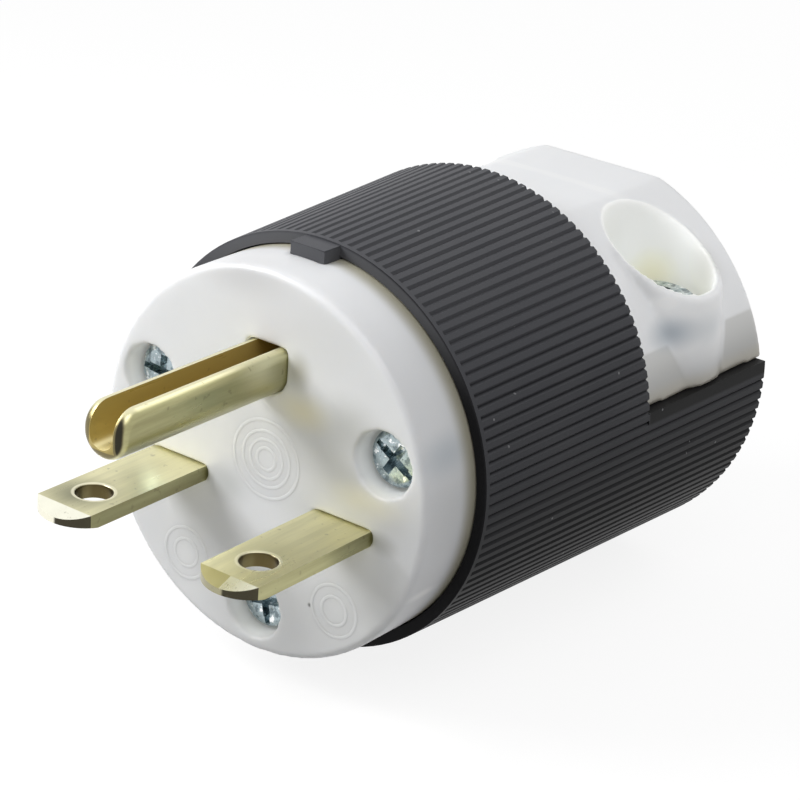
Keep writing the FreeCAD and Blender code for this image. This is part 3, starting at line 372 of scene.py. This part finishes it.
# A painted highlight on the pin's right side next to its root: centre, reach, colour, amount
PIN_ROOT_HIGHLIGHT = (((2.3, -2.4, 10.4), (1.6, 5.0, 3.0), (0.78, 0.76, 0.52), 0.7),)
# Centres of the face's screw pockets, which get a painted glow, and of the clamp's screw tower
FACE_POCKETS = ((13.35 * MM, 4.35 * MM), (0.0, -14.1 * MM))
TOWER = (13.3 * MM, 42.1 * MM, 0.0)
UNLIT = (0.0, 0.0, 0.0, 1.0)
# Painted shade on the front of the blades' tips
DARK_FRONT = (0.04, 0.037, 0.028, 1.0)


def white_nylon(name, colour, tint=None, depth=0.0):
    """Milky translucent nylon: a clouded white with a soft grain, tinted by what lies behind it;
    the tint function also paints shade, highlights and a glow into it.
    """
    material, tree, shader = new_material(name)
    surface = place_group(
        tree, moulded_surface(), Grain_Scale=2600.0, Cloud_Scale=160.0, Roughness=0.36, Spread=0.12
    )
    base = mix_colour(tree, surface.outputs["Cloud"], colour, shaded(colour, 0.94))
    if tint:
        # The tint function gives painted shade and highlights in the base colour, and a painted
        # glow as emission
        base, glow = tint(tree, base)
        tree.links.new(glow, shader.inputs["Emission Color"])
        shader.inputs["Emission Strength"].default_value = 1.0
        shader.inputs["Subsurface Weight"].default_value = 0.5
        shader.inputs["Subsurface Radius"].default_value = (1.0, 0.95, 0.9)
        shader.inputs["Subsurface Scale"].default_value = depth
    tree.links.new(base, shader.inputs["Base Color"])
    tree.links.new(surface.outputs["Roughness"], shader.inputs["Roughness"])
    shader.inputs["IOR"].default_value = 1.53
    bump(tree, shader, surface.outputs["Height"], 0.12, 0.00008)
    return material


def face_tints_and_painted_light(tree, base):
    """The front body's tints and painted light: the patches, a yellowish band of painted shade next
    to the cover, and a painted glow in its pockets.
    """
    point = object_point(tree)
    base = shade_patches(tree, point, base, FACE_TINTS_AND_PAINTED_LIGHT)
    # Painted shade: a dark yellowish band where the face runs under the cover
    along = separate(tree, point).outputs["Y"]
    band = times(tree, span(tree, along, 4.8 * MM, 6.9 * MM), 0.85)
    base = mix_colour(tree, band, base, (0.42, 0.39, 0.27, 1))
    # Painted glow in the screw pockets, an emission in place of light passing through the nylon
    flat = flat_point(tree, separate(tree, both_sides(tree)), "XZ")
    pockets = 0.0
    for across, height in FACE_POCKETS:
        away = vector_node(tree, "DISTANCE", flat, (across, 0.0, height)).outputs["Value"]
        pocket = span(tree, away, 3.3 * MM, 3.7 * MM, 1.0, 0.0)
        pockets = math_node(tree, "MAXIMUM", pocket, pockets)
    deep = times(tree, pockets, span(tree, along, 0.0, 0.9 * MM))
    return base, mix_colour(tree, deep, UNLIT, (0.11, 0.11, 0.1, 1))


def clamp_tints_and_painted_light(tree, base):
    """The clamp's tints and painted light: painted shade towards the bottom, greyer below the edge
    that shows through, the patches, painted shade at its foot by the cover, pale streaks along the
    top, and a painted glow on its lower sides and in its pockets.
    """
    point = both_sides(tree)
    parts = separate(tree, point)
    height = parts.outputs["Z"]
    away = vector_node(tree, "DISTANCE", flat_point(tree, parts, "XY"), TOWER).outputs["Value"]
    # Painted shade: greyer towards the bottom
    soft_low = span(tree, height, 2.0 * MM, 9.0 * MM, 1.0, 0.0)
    base = mix_colour(tree, times(tree, soft_low, 0.35), base, (0.48, 0.48, 0.46, 1))
    skin = span(tree, away, 7.0 * MM, 7.4 * MM)
    low = span(tree, height, 6.5 * MM, 6.9 * MM, 1.0, 0.0)
    edge = times(tree, times(tree, low, skin), 0.8)
    base = mix_colour(tree, edge, base, (0.46, 0.46, 0.44, 1))
    base = shade_patches(tree, point, base, CLAMP_TINTS_AND_PAINTED_LIGHT)
    # Painted shade at the foot, where the clamp meets the cover
    foot = times(tree, span(tree, height, 2.2 * MM, 4.0 * MM, 1.0, 0.0), 0.5)
    base = mix_colour(tree, foot, base, (0.62, 0.56, 0.42, 1))
    values = {"Vector": point, "Scale": (0.12, 1.0, 1.0)}
    stretched = add_node(tree, "ShaderNodeMapping", values).outputs["Vector"]
    streaks = span(tree, noise(tree, stretched, 420.0, 2.0), 0.5, 0.75)
    top = span(tree, height, 16.4 * MM, 17.1 * MM)
    share = times(tree, times(tree, streaks, top), 0.4)
    base = mix_colour(tree, share, base, (0.92, 0.92, 0.91, 1))
    # Painted glow on the lower sides and in the pocket, an emission in place of light passing
    # through the nylon
    sideways = facing(tree, "Sideways", Level=0.8, Width=0.5)
    sides = times(tree, sideways, span(tree, height, 2.0 * MM, 7.0 * MM))
    glow = mix_colour(tree, sides, UNLIT, (0.15, 0.15, 0.15, 1))
    inside = span(tree, away, 5.6 * MM, 6.0 * MM, 1.0, 0.0)
    deep = times(tree, inside, span(tree, height, 6.4 * MM, 7.5 * MM))
    return base, mix_colour(tree, deep, glow, (0.245, 0.245, 0.22, 1))


def black_nylon(colour):
    """Dark grey moulded nylon with the painted sheen and shade of its shell colour, painted shade
    in the grooves, and a few pale specks of dust.
    """
    material, tree, shader = new_material("black nylon")
    surface = place_group(
        tree, moulded_surface(), Grain_Scale=5200.0, Cloud_Scale=90.0, Roughness=0.46, Spread=0.1
    )
    point = object_point(tree)
    parts = separate(tree, point)
    cloud = span(tree, surface.outputs["Cloud"], 0.3, 0.7, 0.0, 0.25)
    shell = shell_colour(tree, parts, cloud, colour)
    cells = add_node(tree, "ShaderNodeTexVoronoi", {"Vector": point, "Scale": 300.0})
    dust = span(tree, cells.outputs["Distance"], 0.025, 0.05, 1.0, 0.0)
    base = mix_colour(tree, times(tree, dust, 0.7), shell, (0.3, 0.3, 0.31, 1))
    tree.links.new(base, shader.inputs["Base Color"])
    tree.links.new(surface.outputs["Roughness"], shader.inputs["Roughness"])
    shader.inputs["Specular IOR Level"].default_value = 0.08
    bump(tree, shader, surface.outputs["Height"], 0.2, 0.00005)
    return material


def shell_colour(tree, parts, cloud, colour):
    """The cover's colour with painted light: a painted sheen paler above, painted shade darker
    below, in the grooves, on the lip and the ledge.
    """
    across, along, height = (parts.outputs[axis] for axis in "XYZ")
    # Painted sheen: paler towards the top
    upper = mix_colour(
        tree, span(tree, height, 4.0 * MM, 14.0 * MM), colour, shaded(colour, 1.4)
    )
    clouded = mix_colour(tree, cloud, upper, (0.1, 0.1, 0.105, 1))
    # Painted shade: darker towards the bottom
    lower = span(tree, height, -9.0 * MM, 5.0 * MM)
    base = mix_colour(tree, lower, shaded(colour, 0.1), clouded)
    # Painted shade on the ledge
    over = span(tree, height, 0.6 * MM, 1.0 * MM)
    under = span(tree, height, 2.0 * MM, 2.3 * MM, 1.0, 0.0)
    ledge = times(tree, times(tree, over, under), span(tree, along, 31.4 * MM, 31.8 * MM))
    base = mix_colour(tree, ledge, base, (0.01, 0.01, 0.01, 1))
    # Painted shade on the front of the lip, towards the right
    right = span(tree, across, -3.0 * MM, 9.0 * MM, 0.0, 0.75)
    lip = times(tree, facing(tree, "Ahead"), right)
    base = mix_colour(tree, lip, base, (0.008, 0.008, 0.009, 1))
    flat = flat_point(tree, parts, "XZ")
    radius = vector_node(tree, "LENGTH", flat, (0.0, 0.0, 0.0)).outputs["Value"]
    skin = math_node(tree, "MULTIPLY_ADD", along, COVER_SLOPE, COVER_START)
    depth = span(tree, math_node(tree, "SUBTRACT", skin, radius), 0.08 * MM, 0.26 * MM)
    # Painted shade in the grooves, turned paler near the top so that they fade there
    top = span(tree, height, 8.0 * MM, 17.0 * MM)
    groove = mix_colour(tree, top, (0.006, 0.006, 0.007, 1), (0.11, 0.112, 0.12, 1))
    return mix_colour(tree, times(tree, depth, 0.6), base, groove)


def metal(name, colour, dull, roughness, spread, shape=None):
    """Rolled metal with streaks along the blades and small dark pits."""
    material, tree, shader = new_material(name)
    surface = place_group(tree, rubbed_metal(), Roughness=roughness, Spread=spread)
    streaks = span(tree, surface.outputs["Streaks"], 0.3, 0.7)
    base = mix_colour(tree, streaks, colour, dull)
    if shape:
        base = shape(tree, base, streaks, shader)
    pits = times(tree, surface.outputs["Pits"], 0.3)
    dark = mix_colour(tree, pits, base, (0.12, 0.1, 0.06, 1))
    tree.links.new(dark, shader.inputs["Base Color"])
    tree.links.new(surface.outputs["Roughness"], shader.inputs["Roughness"])
    shader.inputs["Metallic"].default_value = 1.0
    bump(tree, shader, surface.outputs["Height"], 0.1, 0.00003)
    return material


def sheared_and_shaded_sides(tree, base, streaks):
    """Dull greenish sides under the pale rolled top, sheared and darkened with painted shade, and
    the faces that look ahead painted darker still.
    """
    sides = place_group(tree, facing_sides(), Width=0.3)
    # Painted shade on the sides and, darker, on the faces that look ahead
    side = mix_colour(tree, streaks, (0.47, 0.455, 0.245, 1), (0.34, 0.32, 0.165, 1))
    base = mix_colour(tree, sides.outputs["Sideways"], base, side)
    return mix_colour(tree, sides.outputs["Ahead"], base, (0.2, 0.17, 0.085, 1))


def blade_shape(tree, base, streaks, shader):
    """The blades' tops with darker patches, sides with painted shade, and detent holes and tips
    with painted highlights and shade.
    """
    point = object_point(tree)
    edged = sheared_and_shaded_sides(tree, shade_patches(tree, point, base, BLADE_DARK_PATCHES), streaks)
    parts = separate(tree, both_sides(tree))
    holed = blade_hole(tree, edged, flat_point(tree, parts, "XY"))
    return blade_tip(tree, holed, separate(tree, point).outputs["X"], parts.outputs["Y"])


def blade_hole(tree, base, flat):
    """The painted highlight on the rim and the painted shade on the wall of the detent hole."""
    away = vector_node(tree, "DISTANCE", flat, HOLE_PLACE).outputs["Value"]
    # Painted highlight on the rim
    near = span(tree, away, HOLE_RADIUS + 0.28 * MM, HOLE_RADIUS + 0.42 * MM, 1.0, 0.0)
    rim = times(tree, near, facing(tree, "Up", Width=0.7))
    rimmed = mix_colour(tree, times(tree, rim, 0.7), base, (0.92, 0.88, 0.66, 1))
    # Painted shade on the wall
    wall = span(tree, away, HOLE_RADIUS + 0.02 * MM, HOLE_RADIUS + 0.08 * MM, 1.0, 0.0)
    return mix_colour(tree, times(tree, wall, 0.85), rimmed, (0.10, 0.075, 0.03, 1))


def blade_tip(tree, base, across, along):
    """The tips' painted light: a painted highlight on the bevel, and painted shade on the front,
    darkest on each blade's right part, with a painted highlight on the left blade's left part.
    """
    # Painted highlight on the bevel
    near = span(tree, along, -15.0 * MM, -14.9 * MM, 1.0, 0.0)
    bevel = times(tree, near, facing(tree, "Up", Width=0.5))
    yellow = math_node(tree, "COMPARE", across, 7.0 * MM, 2.6 * MM)
    pale = mix_colour(tree, yellow, (0.86, 0.85, 0.72, 1), (0.62, 0.58, 0.34, 1))
    bright = mix_colour(tree, bevel, base, pale)
    # Painted light on the front of the tip: shade, darkest on each blade's right part, and a
    # highlight on the left blade's left part
    near = span(tree, along, -14.2 * MM, -14.0 * MM, 0.9, 0.0)
    front = times(tree, facing(tree, "Ahead", Level=0.55, Width=0.2), near)
    turn_left = span(tree, across, -9.3 * MM, -9.0 * MM)
    turn_right = span(tree, across, 9.8 * MM, 10.1 * MM)
    left = mix_colour(tree, turn_left, (0.95, 0.93, 0.78, 1), DARK_FRONT)
    right = mix_colour(tree, turn_right, (0.38, 0.36, 0.24, 1), DARK_FRONT)
    colour = mix_colour(tree, span(tree, across, -1.0 * MM, 1.0 * MM), left, right)
    return mix_colour(tree, front, bright, colour)


def pin_shape(tree, base, streaks, shader):
    """The pin's sides with painted shade and a painted highlight near the root, painted highlights
    on the leg tops, a golden trough with a painted highlight on its floor near the tip, and painted
    shade on the front end of the right leg.
    """
    point = object_point(tree)
    edged = shade_patches(tree, point, sheared_and_shaded_sides(tree, base, streaks), PIN_ROOT_HIGHLIGHT)
    across, along, height = (separate(tree, point).outputs[axis] for axis in "XYZ")
    inside = span(tree, math_node(tree, "ABSOLUTE", across), 1.31 * MM, 1.36 * MM, 1.0, 0.0)
    lining = times(tree, inside, span(tree, height, 7.75 * MM, 7.85 * MM))
    inward = span(tree, along, -19.0 * MM, 1.0 * MM)
    trough = mix_colour(tree, inward, (0.5, 0.39, 0.12, 1), (0.45, 0.34, 0.11, 1))
    # Painted highlight on the trough's floor near the tip
    near = span(tree, along, -18.0 * MM, -15.0 * MM, 1.0, 0.0)
    floor = times(tree, facing(tree, "Up", Level=0.9, Width=0.2), near)
    trough = mix_colour(tree, floor, trough, (0.85, 0.76, 0.4, 1))
    lined = mix_colour(tree, lining, edged, trough)
    bare = math_node(tree, "MULTIPLY_ADD", lining, -0.8, 1.0)
    tree.links.new(bare, shader.inputs["Metallic"])
    # Painted highlight on the tops of the legs
    up = facing(tree, "Up", Level=0.97, Width=0.15)
    crest = times(tree, up, span(tree, height, 9.6 * MM, 10.0 * MM))
    crested = mix_colour(tree, crest, lined, (0.8, 0.76, 0.5, 1))
    # Painted shade on the front end of the right leg
    ahead = facing(tree, "Ahead", Width=0.2)
    end = times(tree, ahead, span(tree, across, 1.45 * MM, 1.6 * MM))
    return mix_colour(tree, times(tree, end, 0.95), crested, (0.03, 0.028, 0.022, 1))


def zinc_glints(tree, base, streaks, shader):
    """Painted glints: sharp dark and bright flecks of painted reflection on the plated heads."""
    fleck = noise(tree, object_point(tree), 1300.0, 2.0, 0.6)
    # Painted reflections: dark flecks, then bright glints
    darker = mix_colour(tree, span(tree, fleck, 0.47, 0.38, 0.0, 0.8), base, (0.13, 0.17, 0.19, 1))
    return mix_colour(tree, span(tree, fleck, 0.58, 0.66), darker, (0.95, 0.97, 0.98, 1))


# Settings

class PlugFinishes(bpy.types.PropertyGroup):
    """Colours of the plug's parts."""

    nylon: bpy.props.FloatVectorProperty(
        name="White nylon",
        description="Colour of the front body and the cord clamp",
        subtype="COLOR",
        size=4,
        min=0.0,
        max=1.0,
        default=(0.83, 0.84, 0.855, 1.0),
    )
    cover: bpy.props.FloatVectorProperty(
        name="Cover",
        description="Colour of the ribbed cover",
        subtype="COLOR",
        size=4,
        min=0.0,
        max=1.0,
        default=(0.054, 0.055, 0.061, 1.0),
    )
    brass: bpy.props.FloatVectorProperty(
        name="Brass",
        description="Colour of the blades and the ground pin",
        subtype="COLOR",
        size=4,
        min=0.0,
        max=1.0,
        default=(0.8, 0.76, 0.47, 1.0),
    )
    zinc: bpy.props.FloatVectorProperty(
        name="Zinc",
        description="Colour of the plated screws",
        subtype="COLOR",
        size=4,
        min=0.0,
        max=1.0,
        default=(0.42, 0.5, 0.53, 1.0),
    )


class PlugRings(bpy.types.PropertyGroup):
    """Raised rings moulded on the face."""

    large_radius: bpy.props.FloatProperty(
        name="Large radius",
        description="Radius of the outermost ring at the middle of the face",
        default=3.7 * MM,
        min=0.5 * MM,
        unit="LENGTH",
    )
    small_radius: bpy.props.FloatProperty(
        name="Small radius",
        description="Radius of the outermost ring below the blades",
        default=2.5 * MM,
        min=0.5 * MM,
        unit="LENGTH",
    )
    bead_width: bpy.props.FloatProperty(
        name="Bead width",
        description="Width of a raised ring",
        default=0.32 * MM,
        min=0.05 * MM,
        unit="LENGTH",
    )
    bead_height: bpy.props.FloatProperty(
        name="Bead height",
        description="How far a ring stands out of the face",
        default=0.015 * MM,
        min=0.005 * MM,
        unit="LENGTH",
    )


class PlugStage(bpy.types.PropertyGroup):
    """Light, floor and camera."""

    ambient: bpy.props.FloatProperty(
        name="Ambient light",
        description="Strength of the even light from all round",
        default=0.34,
        min=0.0,
    )
    key_power: bpy.props.FloatProperty(
        name="Key power",
        description="Power of the soft lamp above on the left",
        default=0.365,
        min=0.0,
        unit="POWER",
    )
    fill_power: bpy.props.FloatProperty(
        name="Fill power",
        description="Power of the wide soft lamp above on the right",
        default=0.5,
        min=0.0,
        unit="POWER",
    )
    rear_power: bpy.props.FloatProperty(
        name="Rear power",
        description="Power of the wide soft lamp above and behind",
        default=0.35,
        min=0.0,
        unit="POWER",
    )
    lens: bpy.props.FloatProperty(
        name="Focal length",
        description="Focal length of the camera in millimetres",
        default=122.91,
        min=10.0,
    )
    camera_place: bpy.props.FloatVectorProperty(
        name="Camera place",
        description="Where the camera stands",
        subtype="TRANSLATION",
        unit="LENGTH",
        default=(0.13865, -0.17124, 0.10026),
    )
    camera_turn: bpy.props.FloatVectorProperty(
        name="Camera turn",
        description="Azimuth, elevation and roll of the camera",
        subtype="EULER",
        unit="ROTATION",
        default=(math.radians(35.903), math.radians(22.928), math.radians(4.299)),
    )


# Pieces

class PLUG_OT_front_body(bpy.types.Operator):
    """Milky nylon on the front body, with painted yellow reflections of the brass, painted shadows
    and a painted highlight on the face, and a painted glow in its pockets
    """

    bl_idname = "plug.front_body"
    bl_label = "Front body"

    def execute(self, context):
        colour = context.scene.plug_finishes.nylon
        material = white_nylon("front nylon", colour, face_tints_and_painted_light, FACE_DEPTH)
        moulded_copy("front_body", FACE_ROUNDS, material)
        return {"FINISHED"}


class PLUG_OT_face_rings(bpy.types.Operator):
    """Plain raised rings at the middle of the face and below the blades"""

    bl_idname = "plug.face_rings"
    bl_label = "Face rings"

    def execute(self, context):
        rings = context.scene.plug_rings
        section = (rings.bead_width / 2, rings.bead_height)
        beads = [(rings.large_radius * share, LARGE_PLACE) for share in LARGE_RINGS]
        small = [rings.small_radius * share for share in SMALL_RINGS]
        beads += [(radius, place) for place in LOW_RINGS for radius in small]
        shells = [ring_bead(radius, place, section) for radius, place in beads]
        colour = shaded(context.scene.plug_finishes.nylon, RING_SHADE)
        material = white_nylon("ring nylon", colour)
        make_piece("face_rings", shells, material)
        return {"FINISHED"}


def ring_bead(radius, place, section):
    """A ring lying on the face, as points and faces.

    With the turn u round the ring and the turn v round its section, both from 0 to 2 pi, the
    point is place + (radius + a cos v)(cos u, 0, sin u) + (0, -b sin v, 0), where a and b are
    the half width and the height of the section. Half of it is sunk in the face.
    """
    around, across = 96, 12
    turn = np.arange(around)[:, None] * (2 * np.pi / around)
    tilt = np.arange(across)[None, :] * (2 * np.pi / across)
    reach = radius + section[0] * np.cos(tilt)
    x = place[0] + reach * np.cos(turn)
    z = place[1] + reach * np.sin(turn)
    y = np.broadcast_to(-section[1] * np.sin(tilt), x.shape)
    points = np.stack((x, y, z), axis=-1).reshape(-1, 3)
    index = np.arange(around * across).reshape(around, across)
    next_turn, next_tilt = np.roll(index, -1, axis=0), np.roll(index, -1, axis=1)
    both = np.roll(next_turn, -1, axis=1)
    faces = np.stack((index, next_turn, both, next_tilt), axis=-1).reshape(-1, 4)
    return points, faces


def moulded_copy(node_name, rounds, material):
    """A CAD node's form on an even mesh, with its edges softened as a mould leaves them."""
    shell = bmesh.new()
    shell.from_mesh(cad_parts[node_name].data)
    bmesh.ops.remove_doubles(shell, verts=shell.verts, dist=0.001 * MM)
    mesh = bpy.data.meshes.new("merged form")
    shell.to_mesh(mesh)
    shell.free()
    piece = bpy.data.objects.new(f"{node_name}_moulded", mesh)
    bpy.context.scene.collection.objects.link(piece)
    even = piece.modifiers.new("even mesh", "REMESH")
    even.mode = "VOXEL"
    even.voxel_size = MOULD_CELL
    soften = piece.modifiers.new("soft edges", "SMOOTH")
    soften.factor = 0.5
    soften.iterations = rounds
    graph = bpy.context.evaluated_depsgraph_get()
    piece.data = bpy.data.meshes.new_from_object(piece.evaluated_get(graph))
    piece.modifiers.clear()
    box = np.array([corner[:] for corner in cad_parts[node_name].bound_box])
    points = np.empty(len(piece.data.vertices) * 3)
    piece.data.vertices.foreach_get("co", points)
    points = np.clip(points.reshape(-1, 3), box.min(axis=0), box.max(axis=0))
    piece.data.vertices.foreach_set("co", points.ravel())
    piece.data.polygons.foreach_set("use_smooth", np.ones(len(piece.data.polygons), dtype=bool))
    piece.data.materials.clear()
    piece.data.materials.append(material)
    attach(piece, "root")
    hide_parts(node_name)


def make_piece(name, shells, material):
    """One smooth mesh of several shells, which rides on the plug and takes the nylon's finish."""
    points, faces, count = [], [], 0
    for shell_points, shell_faces in shells:
        points.append(shell_points)
        faces.append(shell_faces + count)
        count += len(shell_points)
    mesh = bpy.data.meshes.new(name)
    mesh.from_pydata(np.concatenate(points).tolist(), [], np.concatenate(faces).tolist())
    mesh.polygons.foreach_set("use_smooth", np.ones(len(mesh.polygons), dtype=bool))
    mesh.materials.append(material)
    piece = bpy.data.objects.new(name, mesh)
    bpy.context.scene.collection.objects.link(piece)
    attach(piece, "root")


class PLUG_OT_cover(bpy.types.Operator):
    """Dark moulded nylon on the ribbed cover, with painted sheen and shade"""

    bl_idname = "plug.cover"
    bl_label = "Ribbed cover"

    def execute(self, context):
        wear(("cover",), black_nylon(context.scene.plug_finishes.cover))
        return {"FINISHED"}


class PLUG_OT_cord_clamp(bpy.types.Operator):
    """Milky nylon on the cord clamp, with painted shade, a painted highlight and a painted glow"""

    bl_idname = "plug.cord_clamp"
    bl_label = "Cord clamp"

    def execute(self, context):
        colour = context.scene.plug_finishes.nylon
        material = white_nylon("clamp nylon", colour, clamp_tints_and_painted_light, CLAMP_DEPTH)
        moulded_copy("cord_clamp", CLAMP_ROUNDS, material)
        return {"FINISHED"}


class PLUG_OT_contacts(bpy.types.Operator):
    """Brass on the blades, the ground pin and the pressure plates, with painted highlights and
    shade on the blades and the pin
    """

    bl_idname = "plug.contacts"
    bl_label = "Contacts"

    def execute(self, context):
        colour = context.scene.plug_finishes.brass
        dull = shaded(colour, 0.82)
        wear(BLADES, metal("blade brass", colour, dull, 0.3, 0.2, blade_shape))
        wear(("ground_pin",), metal("pin brass", colour, dull, 0.3, 0.2, pin_shape))
        wear(PLATES + WIRE_SCREWS, metal("terminal brass", dull, colour, 0.4, 0.2))
        return {"FINISHED"}


class PLUG_OT_screws(bpy.types.Operator):
    """Zinc plating on the screws and nuts with painted glints, and green on the ground screw"""

    bl_idname = "plug.screws"
    bl_label = "Screws and nuts"

    def execute(self, context):
        colour = context.scene.plug_finishes.zinc
        dull = shaded(colour, 0.75)
        plated = metal("zinc plating", colour, dull, 0.26, 0.25, zinc_glints)
        wear(FACE_SCREWS + CLAMP_NUTS, plated)
        bright = [0.5 + c * 0.5 for c in colour[:3]] + [1]
        wear(CLAMP_SCREWS, metal("bright zinc plating", bright, colour, 0.3, 0.25, zinc_glints))
        green = metal("green plating", (0.04, 0.3, 0.1, 1), (0.03, 0.22, 0.08, 1), 0.35, 0.2)
        wear(("terminal_screw_ground",), green)
        return {"FINISHED"}


class PLUG_OT_terminal_block(bpy.types.Operator):
    """Dark moulded resin on the terminal block"""

    bl_idname = "plug.terminal_block"
    bl_label = "Terminal block"

    def execute(self, context):
        material, tree, shader = new_material("block resin")
        surface = place_group(tree, moulded_surface(), Roughness=0.5)
        base = mix_colour(tree, surface.outputs["Cloud"], (0.7, 0.7, 0.68, 1), (0.62, 0.62, 0.6, 1))
        tree.links.new(base, shader.inputs["Base Color"])
        tree.links.new(surface.outputs["Roughness"], shader.inputs["Roughness"])
        wear(("terminal_block",), material)
        return {"FINISHED"}


# Stage

class PLUG_OT_stage(bpy.types.Operator):
    """Pale floor, soft lamps, world and camera"""

    bl_idname = "plug.stage"
    bl_label = "Stage"

    def execute(self, context):
        settings = context.scene.plug_stage
        make_floor()
        make_world(settings.ambient)
        make_lamp("key lamp", (-0.13, -0.10, 0.12), (0.0, 0.0, 0.0), 0.1, settings.key_power)
        make_lamp("fill lamp", (0.20, -0.12, 0.36), (0.0, 0.03, 0.0), 0.3, settings.fill_power)
        make_lamp("rear lamp", (0.05, 0.42, 0.32), (0.0, 0.03, 0.0), 0.35, settings.rear_power)
        make_camera(settings)
        context.scene.view_settings.view_transform = "Standard"
        return {"FINISHED"}


def seen_directly(tree):
    """1 for camera, glossy and transmission rays and 0 for the rays that light the object."""
    path = add_node(tree, "ShaderNodeLightPath")
    camera, glossy = path.outputs["Is Camera Ray"], path.outputs["Is Glossy Ray"]
    seen = math_node(tree, "MAXIMUM", camera, glossy)
    return math_node(tree, "MAXIMUM", seen, path.outputs["Is Transmission Ray"])


def make_floor():
    """Flat pale floor under the plug that looks white and keeps a faint shadow."""
    level = LOADED_BOX[0].z - FLOOR_GAP
    turns = ((-1, -1), (1, -1), (1, 1), (-1, 1))
    corners = [(FLOOR_HALF * across, FLOOR_HALF * along, level) for across, along in turns]
    mesh = bpy.data.meshes.new("floor")
    mesh.from_pydata(corners, [], [(0, 1, 2, 3)])
    floor = bpy.data.objects.new("floor", mesh)
    bpy.context.scene.collection.objects.link(floor)
    material, tree, shader = new_material("floor paper")
    shader.inputs["Base Color"].default_value = (0.35, 0.35, 0.35, 1)
    shader.inputs["Roughness"].default_value = 1.0
    shader.inputs["Specular IOR Level"].default_value = 0.0
    plain = add_node(tree, "ShaderNodeBsdfDiffuse", {"Color": (0.2, 0.2, 0.2, 1)})
    glow = add_node(tree, "ShaderNodeEmission", {"Strength": 0.86})
    lit = add_node(tree, "ShaderNodeAddShader", {0: plain.outputs[0], 1: glow.outputs[0]})
    mixed = add_node(
        tree,
        "ShaderNodeMixShader",
        {0: seen_directly(tree), 1: shader.outputs[0], 2: lit.outputs[0]},
    )
    tree.links.new(mixed.outputs[0], tree.nodes["Material Output"].inputs["Surface"])
    mesh.materials.append(material)


def make_world(strength):
    """Even light from all round, white where it is seen directly."""
    world = bpy.data.worlds.new("studio")
    bpy.context.scene.world = world
    world.use_nodes = True
    tree = world.node_tree
    back = tree.nodes["Background"]
    back.inputs["Color"].default_value = (1, 1, 1, 1)
    seen = span(tree, seen_directly(tree), 0.0, 1.0, strength, 1.0)
    tree.links.new(seen, back.inputs["Strength"])


def make_lamp(name, place, target, size, power):
    """Square soft lamp aimed at a point."""
    data = bpy.data.lights.new(name, "AREA")
    data.shape = "SQUARE"
    data.size = size
    data.energy = power
    lamp = bpy.data.objects.new(name, data)
    lamp.location = place
    aim = Vector(target) - Vector(place)
    lamp.rotation_euler = aim.to_track_quat("-Z", "Y").to_euler()
    bpy.context.scene.collection.objects.link(lamp)


def make_camera(settings):
    """Camera from its place, azimuth, elevation and roll."""
    azimuth, elevation, roll = settings.camera_turn
    back = Vector((
        math.sin(azimuth) * math.cos(elevation),
        -math.cos(azimuth) * math.cos(elevation),
        math.sin(elevation),
    ))
    side = Vector((math.cos(azimuth), math.sin(azimuth), 0.0))
    up = back.cross(side)
    right = side * math.cos(roll) + up * math.sin(roll)
    top = up * math.cos(roll) - side * math.sin(roll)
    data = bpy.data.cameras.new("camera")
    data.lens = settings.lens
    data.sensor_width = 36.0
    data.clip_start = 0.01
    data.clip_end = 10.0
    camera = bpy.data.objects.new("camera", data)
    turn = Matrix((right, top, back)).transposed().to_4x4()
    camera.matrix_world = Matrix.Translation(Vector(settings.camera_place)) @ turn
    bpy.context.scene.collection.objects.link(camera)
    bpy.context.scene.camera = camera


# Panel and registration

class PLUG_PT_pieces(bpy.types.Panel):
    """The plug's pieces and settings"""

    bl_idname = "PLUG_PT_pieces"
    bl_label = "Grounding plug"
    bl_space_type = "VIEW_3D"
    bl_region_type = "UI"
    bl_category = "Plug"

    def draw(self, context):
        scene = context.scene
        for settings in (scene.plug_finishes, scene.plug_rings, scene.plug_stage):
            box = self.layout.box()
            for name in settings.__annotations__:
                box.prop(settings, name)
        for operator in STEPS:
            self.layout.operator(operator.bl_idname)


STEPS = (
    PLUG_OT_stage,
    PLUG_OT_front_body,
    PLUG_OT_face_rings,
    PLUG_OT_cover,
    PLUG_OT_cord_clamp,
    PLUG_OT_contacts,
    PLUG_OT_screws,
    PLUG_OT_terminal_block,
)
CLASSES = (PlugFinishes, PlugRings, PlugStage) + STEPS + (PLUG_PT_pieces,)


def register():
    """Adds the classes and their settings."""
    for cls in CLASSES:
        bpy.utils.register_class(cls)
    bpy.types.Scene.plug_finishes = bpy.props.PointerProperty(type=PlugFinishes)
    bpy.types.Scene.plug_rings = bpy.props.PointerProperty(type=PlugRings)
    bpy.types.Scene.plug_stage = bpy.props.PointerProperty(type=PlugStage)


def unregister():
    """Removes what register added."""
    del bpy.types.Scene.plug_stage
    del bpy.types.Scene.plug_rings
    del bpy.types.Scene.plug_finishes
    for cls in reversed(CLASSES):
        bpy.utils.unregister_class(cls)


def main():
    """Makes every piece in order."""
    register()
    for operator in STEPS:
        group, name = operator.bl_idname.split(".")
        getattr(getattr(bpy.ops, group), name)()


if __name__ == "__main__":
    main()
